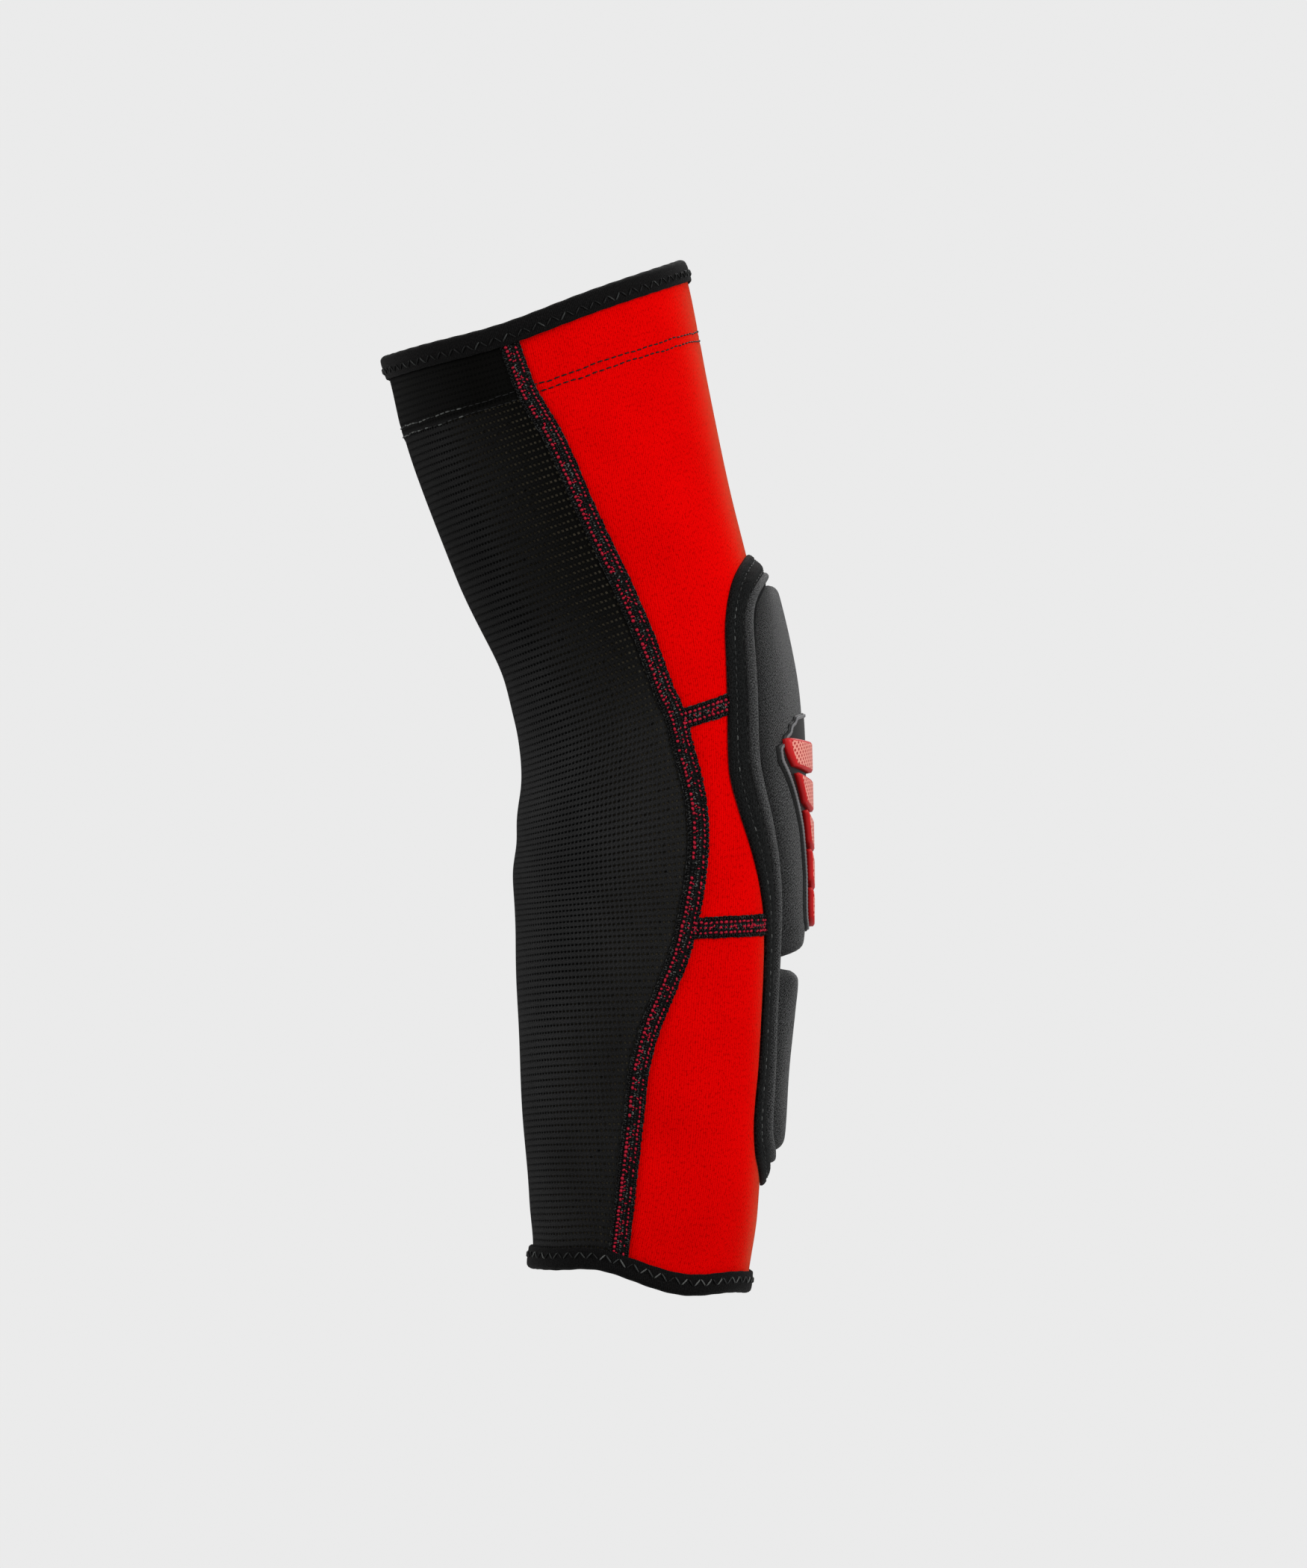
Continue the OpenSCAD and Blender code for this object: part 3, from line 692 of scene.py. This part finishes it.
def flatlock(name, path, needles):
    """A flatlock seam: a rounded cover, rows of red needle thread, and short black loops, some in grey and
    pale as painted highlights.

    Each needle row is its offset from the seam's middle, and its least and greatest thickness.
    """
    stops = evenly(path, NEEDLE_PITCH)
    direction = along(stops, False)
    n = len(stops)
    made = []

    def at(side, ahead):
        moved = beside(stops, direction, side + random.normal(0, 0.1, n))
        slip = (ahead + random.normal(0, 0.12, n))[:, None]
        return moved + direction * slip * np.stack([np.ones(n), np.degrees(1 / radius(stops[:, 0]))], -1)

    for offset, least, most in needles:
        red = grains(at(offset - 0.12, -0.46), at(offset + 0.12, 0.36), random.uniform(least, most, n),
                     0.5, 0.8)
        made.append((*red, random.choice([0] * 9 + [1], n)))
    for left, right in LOOPS:
        middle = abs(left + right) < 2
        # Loop tones: red thread, black thread, or its grey and pale painted-highlight copies.
        tones = [0, 1, 1, 2, 2, 3] if middle else [1, 1, 1, 2]
        for shift, slope in ((-0.34, 0.24), (0.34, -0.24)):
            leg = grains(at(left, shift - slope), at(right, shift + slope), 0.4, 0.42, 0.8)
            made.append((*leg, random.choice(tones, n)))
    for side in (-SEAM_EDGE, SEAM_EDGE):
        edge = grains(at(side, -0.6), at(side, 0.7), 0.42, 0.2, 0.42)
        made.append((*edge, random.choice([1, 1, 1, 2], n)))
    threads = thread_piece(name + "_threads", made, [RED_THREAD, BLACK_THREAD, BLACK_THREAD_SOFT_HIGHLIGHT, BLACK_THREAD_BRIGHT_HIGHLIGHT])
    cover = sweep(name + "_cover", SEAM_COVER, evenly(path, 3.0), half_round(SEAM_WIDTH, 0.06, 0.58, 7))
    return cover, threads


def seam_line(side, low, high, pitch=4.0):
    z = np.linspace(low, high, round((high - low) / pitch) + 1)
    return np.stack([z, side * seam(z)], -1)


def cross_line(z):
    reach = float(seam(z)) - np.degrees((SEAM_WIDTH / 2 - 0.4) / float(radius(z)))
    a = np.linspace(-reach, reach, 41)
    return np.stack([np.full(41, z), a], -1)


def long_seam(side, word):
    """Seam between mesh and red knit, with its bolder needle row on the mesh side."""
    line = seam_line(side, LOWER_END + TAPE - 1.0, UPPER_END - TAPE + 1.0)
    needles = ((-1.2 * side, 0.7, 1.0), (1.6 * side, 0.45, 0.7))
    for part in flatlock("flatlock_" + word, line, needles):
        bends(part, "seam_thread", "upper_flatlock_seams", "elbow_flatlock_seams", "forearm_flatlock_seams")


def cross_seam(name, z):
    """Seam between two of the red panels, with three needle rows."""
    needles = ((-1.4, 0.6, 0.9), (0.05, 0.5, 0.8), (1.4, 0.6, 0.9))
    for part in flatlock(name, cross_line(z), needles):
        bends(part, "seam_thread", name)


long_seam(-1, "near")
long_seam(1, "far")
cross_seam("upper_cross_seam", UPPER_SEAM)
cross_seam("lower_cross_seam", LOWER_SEAM)


# ---------------------------------------------------------------- hems and gripper band

def hem_tape(name, body, edge, sign, count):
    """Tape folded over the knit's edge: two legs joined by a round fold.

    The profile's points are height above the knit and depth from the hem's edge along the sleeve.
    """
    fold = 1.5
    turn = np.linspace(0, math.pi, 9)
    middle, half = -KNIT / 2, KNIT / 2 + 1.3
    under = 0.3 - 2 * KNIT
    length_round = 2 * math.pi * float(radius(edge))
    outside = [(1.18, TAPE), (1.3, TAPE - 0.3), (1.38, TAPE * 0.75), (1.3, TAPE * 0.6), (1.42, TAPE * 0.4)]
    arch = [(middle + half * math.cos(t), fold - fold * math.sin(t)) for t in turn]
    inside = [(under - 0.02, TAPE * 0.5), (under, TAPE), (-KNIT - 0.4, TAPE)]
    hollow = [(-KNIT - 0.35, fold + 0.6), (0.35, fold + 0.6), (0.42, TAPE)]
    profile = np.array(outside + arch + inside + hollow)
    a = np.arange(count) * 360 / count
    lean = 0.05 * np.sin(np.radians(a) * count / 8)
    points = np.stack([skin(edge - sign * (depth + lean), a, h) for h, depth in profile], 1)
    ring = joined(numbered(points))
    faces = grid_faces(np.vstack([ring, ring[:1]]))
    travel = np.cumsum(np.r_[0, np.linalg.norm(np.diff(profile, axis=0), axis=1)])
    ribs = round(length_round / 0.55)
    weave = np.stack(np.meshgrid(travel / 0.5, np.arange(count) * ribs / count), -1)[..., ::-1]
    made = piece(name, points, faces, [HEM_TAPE], weave)
    rides(made, body, "hem_tape", name)


def hem_zigzag(name, body, edge, sign, count, depth, swing, tones):
    """Zigzag thread through a hem's tape, each stitch a thread of its own."""
    k = np.arange(2 * count)
    a = k * 180 / count
    z = edge - sign * (depth + swing * np.where(k % 2 == 0, 1, -1))
    stops = np.stack([z, a], -1)
    ahead = np.vstack([stops[1:], [[stops[0, 0], 360.0]]])
    inset = (ahead - stops) * 0.07
    made = grains(stops + inset, ahead - inset, 0.46, 1.25, 1.64)
    # Each stitch is black thread or one of its painted-highlight copies.
    row = thread_piece(name, [(*made, random.choice(tones, 2 * count))], DARK_THREADS)
    rides(row, body, "black_thread", name)


hem_tape("upper_hem_binding", "upper_arm", UPPER_END, 1, 360)
hem_tape("lower_hem_binding", "forearm", LOWER_END, -1, 260)
hem_zigzag("upper_hem_zigzag", "upper_arm", UPPER_END, 1, 66, 4.2, 1.2, [0, 0, 0, 1])
hem_zigzag("lower_hem_zigzag", "forearm", LOWER_END, -1, 50, 4.1, 1.2, [0, 1, 1, 2])


def full_turn(z, count=240):
    return np.stack([np.full(count, z), np.arange(count) * 360 / count], -1)


def gripper_band():
    """The elastic inside the upper hem, held by the double stitch, with its silicone lines."""
    z = np.linspace(BAND_LOW, BAND_HIGH, 17)[:, None]
    a = (np.arange(241) * 1.5)[None, :]
    low, high = (skin(z, a, -KNIT - d + 0.04 * np.sin(a * 6)) for d in (0.65, 0.25))
    ids = numbered(high)
    faces = grid_faces(ids) + grid_faces(ids + ids.size) + walls(ids, ids + ids.size)
    weave = np.stack(np.broadcast_arrays(np.radians(a) * BAND_RADIUS, (z - BAND_LOW) / 0.8), -1)
    band = piece("gripper_band", np.stack([high, low]), faces, [ELASTIC], np.stack([weave, weave]))
    rides(band, "upper_arm", "elastic", "gripper_band")
    pitch = (BAND_HIGH - BAND_LOW) / 4
    for k in (1, 2, 3):
        turn = full_turn(BAND_HIGH - k * pitch)
        turn[:, 0] += 0.5 * np.sin(np.radians(turn[:, 1]) * 24 + k)
        ring = half_round(1.6, -KNIT - 0.6, -KNIT - 1.05, 7)
        line = sweep(f"silicone_grip_line_{k}", SILICONE, turn, ring, loop=True)
        rides(line, "upper_arm", "silicone", "silicone_grip_lines")


def over_seams(z, a):
    """Stitches that cross a flatlock seam lie on top of it."""
    away = (turned(a) - seam(z)) * np.radians(radius(z))
    return 0.72 * (1 - step(np.abs(away), 1.6, 3.4)) + 0.35 * step(away, 0, 3)


def gripper_stitches():
    """Two rows of running stitch in black thread, painted paler over the crook as painted highlights."""
    batches = []
    for k in (0, 1):
        turn = full_turn(BAND_LOW + k * DOUBLE_STITCH)
        angle = np.radians(turn[:, 1])
        turn[:, 0] += 0.16 * np.sin(angle * 11 + 2 * k) + 0.1 * np.sin(angle * 29)
        made = dashes(turn, 2.3, 0.86, 0.44, -0.2, 0.02, over_seams, wobble=0.06)
        at = turned(evenly(turn, 2.3, True)[:, 1])
        # Over the crook, stitches get painted highlights.
        tones = np.where(at > 128, random.choice([0, 1, 2, 2], len(at)), 0)
        batches.append((*made, tones))
    rows = thread_piece("gripper_band_stitches", batches, DARK_THREADS)
    rides(rows, "upper_arm", "black_thread", "gripper_band_stitches")


gripper_band()
gripper_stitches()


# ---------------------------------------------------------------- pad

def mirrored(points):
    """Closed loop in (u, z) from half an outline of (z, angle)."""
    table = np.asarray(points, float)
    right = np.stack([np.radians(table[:, 1]) * radius(table[:, 0]), table[:, 0]], -1)
    return np.vstack([right, right[-2:0:-1] * [-1, 1]])


def straight(points, per=8):
    """Closed loop of straight lines from half an outline."""
    loop = mirrored(points)
    t = (np.arange(per) / per)[None, :, None]
    return (loop[:, None] * (1 - t) + np.roll(loop, -1, 0)[:, None] * t).reshape(-1, 2)


def rounded(points, per=8):
    """Closed smooth loop from half an outline."""
    loop = mirrored(points)
    p0, p1, p2, p3 = (np.roll(loop, k, 0)[:, None] for k in (1, 0, -1, -2))
    t = (np.arange(per) / per)[None, :, None]
    curve = 0.5 * (2 * p1 + (p2 - p0) * t + (2 * p0 - 5 * p1 + 4 * p2 - p3) * t ** 2
                   + (3 * p1 - p0 - 3 * p2 + p3) * t ** 3)
    return curve.reshape(-1, 2)


def distance(points, loop):
    """Distance of (u, z) points inside a closed loop, negative outside, and the loop's nearest points."""
    a, b = loop, np.roll(loop, -1, 0)
    ab = b - a
    flat = np.reshape(points, (-1, 2))
    far, near, inside = [], [], []
    for part in np.array_split(flat, max(1, len(flat) // 4000)):
        p = part[:, None] - a[None]
        t = np.clip((p * ab).sum(-1) / np.maximum((ab * ab).sum(-1), 1e-12), 0, 1)
        gap = np.linalg.norm(p - t[..., None] * ab, axis=-1)
        k = gap.argmin(1)
        rows = np.arange(len(part))
        far.append(gap[rows, k])
        near.append(a[k] + t[rows, k, None] * ab[k])
        y = part[:, None, 1]
        crosses = (a[:, 1] > y) != (b[:, 1] > y)
        with np.errstate(divide="ignore", invalid="ignore"):
            x = a[:, 0] + (y - a[:, 1]) * ab[:, 0] / ab[:, 1]
        inside.append((crosses & (part[:, None, 0] < x)).sum(1) % 2 == 1)
    signed = np.concatenate(far) * np.where(np.concatenate(inside), 1, -1)
    return signed.reshape(np.shape(points)[:-1]), np.concatenate(near).reshape(np.shape(points))


def drawn_in(loop, by, pitch=1.2):
    """A loop moved inwards by a distance, as an evenly spaced (z, angle) path."""
    direction = np.roll(loop, -1, 0) - np.roll(loop, 1, 0)
    direction /= np.linalg.norm(direction, axis=1, keepdims=True)
    moved = loop + np.stack([-direction[:, 1], direction[:, 0]], -1) * by
    moved = moved[distance(moved, loop)[0] > by - 0.04]
    closed = np.vstack([moved, moved[:1]])
    length = np.r_[0, np.cumsum(np.linalg.norm(np.diff(closed, axis=0), axis=1))]
    at = np.linspace(0, length[-1], round(length[-1] / pitch) + 1)[:-1]
    path = np.stack([np.interp(at, length, closed[:, k]) for k in (0, 1)], -1)
    for _ in range(4):
        path = (np.roll(path, 1, 0) + 2 * path + np.roll(path, -1, 0)) / 4
    return np.stack([path[:, 1], to_angle(path[:, 0], path[:, 1])], -1)


def patch(name, material, loop, pitch, top, bottom, unit=(1.0, 1.0)):
    """Closed solid over the area inside a (u, z) loop. top and bottom give heights from (z, u, inside)."""
    half = math.ceil(np.abs(loop[:, 0]).max() / pitch) + 1
    u = np.arange(-half, half + 1) * pitch
    z = np.arange(math.floor(loop[:, 1].min() / pitch) - 1, math.ceil(loop[:, 1].max() / pitch) + 2) * pitch
    flat = np.stack(np.meshgrid(u, z), -1)
    inside, near = distance(flat, loop)
    outward = -np.stack(np.gradient(inside, pitch)[::-1], -1).reshape(-1, 2)
    snap = inside < 0.35 * pitch
    ids = np.arange(inside.size).reshape(inside.shape)
    cells = np.array(grid_faces(ids))
    cells = cells[(~snap.ravel()[cells]).any(1)]
    flat = np.where(snap[..., None], near, flat).reshape(-1, 2)
    inside = np.where(snap, 0, inside).ravel()
    used, cells = np.unique(cells, return_inverse=True)
    flat, inside, outward = flat[used], inside[used], outward[used]
    _, first, same = np.unique(np.round(flat / 0.04), axis=0, return_index=True, return_inverse=True)
    faces = []
    for face in same.ravel()[cells.reshape(-1, 4)].tolist():
        kept = [v for k, v in enumerate(face) if v != face[k - 1]]
        if len(set(kept)) == len(kept) >= 3:
            faces.append(kept)
    flat, inside, outward = flat[first], inside[first], outward[first]
    n = len(flat)
    edges = {(f[k - 1], f[k]) for f in faces for k in range(len(f))}
    rim = [(a, b) for a, b in edges if (b, a) not in edges]
    sides = [[b, a, a + n, b + n] for a, b in sorted(rim)]
    angle = to_angle(flat[:, 0], flat[:, 1])
    heights = [height(flat[:, 1], flat[:, 0], inside) for height in (top, bottom)]
    points = [skin(flat[:, 1], angle, height) for height in heights]
    drop = top(flat[:, 1], 0 * flat[:, 0], inside + 99) - heights[0]
    weave = (flat + outward * drop[:, None]) / np.array(unit)
    all_faces = faces + [[v + n for v in f[::-1]] for f in faces] + sides
    return piece(name, np.stack(points), all_faces, [material], np.stack([weave, weave]))


PAD_LOOP = rounded(OUTLINE)
ELBOW_LOOP = rounded(ELBOW_BLOCK)
FOREARM_LOOP = rounded(FOREARM_BLOCK)
BADGE_LOOP = straight(BADGE)
# Distances of the stitch rows and the ridge inside the flange's edge.
OUTER_ROW, INNER_ROW, RIM_ROW = 2.1, 5.6, 7.5


def tips(z):
    """1 at the pad's two ends, where the layers stand higher, and 0 between."""
    return step(z, 33, 43) + 0.45 * step(-z, 106, 113)


def flange_top(z, u, inside):
    """Rounded edge, a dent along each stitch row, and a padded step inside them at the two ends."""
    edge = 1.1 * (1 - np.clip(inside / 1.5, 0, 1)) ** 2.2
    dents = 0.28 * hill(inside, OUTER_ROW, 0.55) + 0.22 * hill(inside, INNER_ROW, 0.5)
    soft = 0.35 * step(inside, 1.9, 3.2) * step(-inside, -INNER_ROW, -INNER_ROW + 1)
    inner = np.maximum(step(-inside, -8.2, -6.4), step(z, 33, 37))
    raised = 2.1 * tips(z) * step(inside, 0.4, 6.2) * inner
    gathers = 0.1 * np.sin(1.5 * z + 0.9 * u) * hill(inside, OUTER_ROW, 1.3)
    return FLANGE_TOP - edge - dents + soft + raised + gathers


def flange_low(z, u, inside):
    return np.full(np.shape(z), 0.12)


def pad_flange():
    """The sheet with the pad's whole outline, sewn down along its edge."""
    flange = patch("pad_flange", FLANGE_KNIT, PAD_LOOP, 0.75, flange_top, flange_low, (0.52, 0.6))
    bends(flange, "flange_knit", "pad_flange")


def on_flange(z, a):
    """Height of the flange's top above its plain level."""
    u = np.radians(a) * radius(z)
    return flange_top(z, u, distance(np.stack([u, z], -1), PAD_LOOP)[0]) - FLANGE_TOP


def pad_stitches(name, inset, share, thick, crown, tones, pitch=2.1):
    """A row of running stitches on the flange, an even distance inside its edge."""
    path = drawn_in(PAD_LOOP, inset)
    made = dashes(path, pitch, share, thick, FLANGE_TOP - 0.2, FLANGE_TOP + crown, on_flange, wobble=0.03)
    # tones pick black thread or its painted-highlight copies.
    row = thread_piece(name, [(*made, random.choice(tones, made[2].max() + 1))], DARK_THREADS)
    bends(row, "black_thread", name)


def pad_rim():
    """The raised ridge between the flange's stitches and the blocks."""
    path = drawn_in(PAD_LOOP, RIM_ROW)
    lift = 1.35 * tips(path[:, 0]) + 0.1 * np.sin(path[:, 0] / 9)
    rim = sweep("pad_rim", PAD_CLOTH, path, half_round(3.1, 1.5, 3.9, 11), loop=True, lift=lift)
    bends(rim, "pad_cloth", "pad_rim")


def block_height(table, round_side, round_end, crown):
    """A block's top: domed along its sides, with a tighter rounding at its ends."""
    def height(z, u, inside):
        top = smooth(z, table)
        from_end = np.minimum(z - table[0, 0], table[-1, 0] - z)
        round_off = round_end + (round_side - round_end) * step(from_end, 2, 15)
        edge = (1 - (1 - np.clip(inside / round_off, 0, 1)) ** 2.3) ** (1 / 2.3)
        fall = crown * (u / 27) ** 2
        return FOAM_LOW - 0.4 + (top - fall - FOAM_LOW + 0.4) * edge
    return height


def block_foot(z, u, inside):
    return np.full(np.shape(z), 1.5)


def pad_cover(name, loop, height):
    """The cloth skin of one foam block."""
    cover = patch(name, PAD_CLOTH, loop, 0.7, height, block_foot)
    return cover


elbow_height = block_height(ELBOW_TOP, 8.5, 4.0, 2.2)
forearm_height = block_height(FOREARM_TOP, 6.0, 3.6, 1.0)
pad_flange()
# The outer row is all painted highlights; the inner row black and grey.
pad_stitches("pad_outer_stitch", OUTER_ROW, 0.72, 0.4, 0.16, [1, 1, 2])
pad_stitches("pad_inner_stitch", INNER_ROW, 0.8, 0.34, 0.14, [0, 1])
pad_rim()
elbow_cover = pad_cover("elbow_pad_cover", ELBOW_LOOP, elbow_height)
bends(elbow_cover, "pad_cloth", "elbow_pad_cover", "elbow_foam_core")
forearm_cover = pad_cover("forearm_pad_cover", FOREARM_LOOP, forearm_height)
rides(forearm_cover, "forearm", "pad_cloth", "forearm_pad_cover", "forearm_foam_core")


# ---------------------------------------------------------------- badge

def on_elbow(z, u):
    """Height of the elbow block's top."""
    inside = distance(np.stack(np.broadcast_arrays(u, z), -1), ELBOW_LOOP)[0]
    return elbow_height(z, u, inside)


def badge_layer(low, high, soft=0.5):
    """Height functions of a layer of the badge between two heights above the elbow block."""
    def top(z, u, inside):
        return on_elbow(z, u) + high - soft * (1 - np.clip(inside / soft, 0, 1)) ** 2

    def bottom(z, u, inside):
        return on_elbow(z, u) + low
    return top, bottom


def badge_base():
    base = patch("badge_base", BADGE_BLACK, BADGE_LOOP, 0.8, *badge_layer(-0.6, 0.75, 0.3))
    bends(base, "badge_black", "badge_base")


def badge_frame():
    """Thin ribbed strip round the badge."""
    path = drawn_in(BADGE_LOOP, 0.85, 0.45)
    u = np.radians(path[:, 1]) * radius(path[:, 0])
    lift = on_elbow(path[:, 0], u) + 0.16 * (np.arange(len(path)) % 2)
    ring = np.array([[-0.42, 0.5], [-0.42, 0.95], [-0.25, 1.1], [0.25, 1.1], [0.42, 0.95], [0.42, 0.5]])
    direction = along(path, True)
    rings = [skin(*beside(path, direction, s).T, h + lift) for s, h in ring]
    points = np.stack(rings, 1)
    loop = joined(numbered(points))
    made = piece("badge_frame", points, grid_faces(np.vstack([loop, loop[:1]])), [BADGE_GREY])
    bends(made, "badge_grey", "badge_frame")


def badge_blocks(count=5, pitch=9.1, tall=7.3, bow=2.6):
    """Raised chevrons with rounded corners, pale dotted faces and plain red sides."""
    rows, columns = 13, 45
    share = np.linspace(-1, 1, columns)[None, :]
    for k in range(count):
        zs = (BADGE_LOW + 1.3 + pitch * k + np.linspace(0, tall, rows))[:, None]
        half = np.radians(smooth(zs, CHEVRON_REACH)) * radius(zs)
        u = share * half
        z = zs + bow * np.abs(share) ** 2.2
        around = np.minimum(half - np.abs(u), np.minimum(zs - zs[0], zs[-1] - zs) + 0 * u)
        soften = 0.45 * (1 - np.clip(around / 0.7, 0, 1)) ** 2
        ground = on_elbow(z, u)
        top = skin(z, to_angle(u, z), ground + 2.85 - soften)
        foot = skin(z, to_angle(u, z), ground + 0.6)
        ids = numbered(top)
        edge_cell = np.ones((rows - 1, columns - 1), int)
        edge_cell[1:-1, 1:-1] = 0
        others = grid_faces(ids + ids.size) + walls(ids, ids + ids.size)
        weave = np.stack([(u + z) / 1.7, (u - z) / 1.7], -1)
        which = np.r_[edge_cell.ravel(), np.ones(len(others), int)]
        block = piece(f"badge_chevron_{k + 1}", np.stack([top, foot]), grid_faces(ids) + others,
                      [BADGE_FACE, BADGE_RED], np.stack([weave, weave]), which)
        bends(block, "badge_red", "badge_blocks")


badge_base()
badge_frame()
badge_blocks()


# ---------------------------------------------------------------- camera, light and floor

BACKDROP = 0.83


def camera(aim_x=0.0018, aim_z=-0.0044, away=3.235):
    """Level view of the near side."""
    data = bpy.data.cameras.new("camera")
    data.lens, data.sensor_width = 250, 36
    data.clip_start, data.clip_end = 0.05, 20
    cam = bpy.data.objects.new("camera", data)
    cam.location = (aim_x, -away, aim_z)
    cam.rotation_euler = (math.pi / 2, 0, 0)
    bpy.context.scene.collection.objects.link(cam)
    bpy.context.scene.camera = cam


def area_light(name, place, size, power):
    data = bpy.data.lights.new(name, "AREA")
    data.shape, data.size, data.size_y = "RECTANGLE", size[0], size[1]
    data.energy = power
    light = bpy.data.objects.new(name, data)
    light.location = place
    light.rotation_euler = (Vector((0, 0, 0)) - Vector(place)).to_track_quat("-Z", "Y").to_euler()
    bpy.context.scene.collection.objects.link(light)


def floor(tone, depth=3.4, reach=12.0, corners=96):
    """A plain pale floor in the backdrop's tone, below every view, that sends no light back up."""
    turn = np.arange(corners) * 2 * math.pi / corners
    points = np.stack([reach * np.cos(turn), reach * np.sin(turn), np.full(corners, -depth)], -1)
    pale = Look("floor", Base_Color=(0, 0, 0, 1), Specular_IOR_Level=0,
                Emission_Color=(tone, tone, tone, 1), Emission_Strength=1)
    ground = piece("floor", points, [list(range(corners))], [pale.material])
    ground.visible_diffuse = False
    ground.visible_glossy = False


def surroundings(seen, light):
    """Even pale surroundings: one brightness for the backdrop, another for the light they give."""
    world = bpy.data.worlds.new("studio")
    world.use_nodes = True
    tree = world.node_tree
    tree.nodes.clear()
    ray = tree.nodes.new("ShaderNodeLightPath")
    mix = tree.nodes.new("ShaderNodeMixShader")
    tree.links.new(ray.outputs["Is Camera Ray"], mix.inputs[0])
    for k, level in ((1, light), (2, seen)):
        back = tree.nodes.new("ShaderNodeBackground")
        back.inputs["Color"].default_value = (level, level, level, 1)
        tree.links.new(back.outputs[0], mix.inputs[k])
    tree.links.new(mix.outputs[0], tree.nodes.new("ShaderNodeOutputWorld").inputs[0])
    bpy.context.scene.world = world


camera()
area_light("soft_left", (-1.1, -0.6, 0.5), (0.6, 1.2), 7)
area_light("key_right", (1.1, -0.8, 0.55), (0.6, 1.2), 14)
area_light("back_high", (0.3, 1.1, 0.9), (1.0, 0.8), 7)
floor(BACKDROP)
surroundings(BACKDROP, 0.4)
bpy.context.scene.view_settings.view_transform = "Standard"
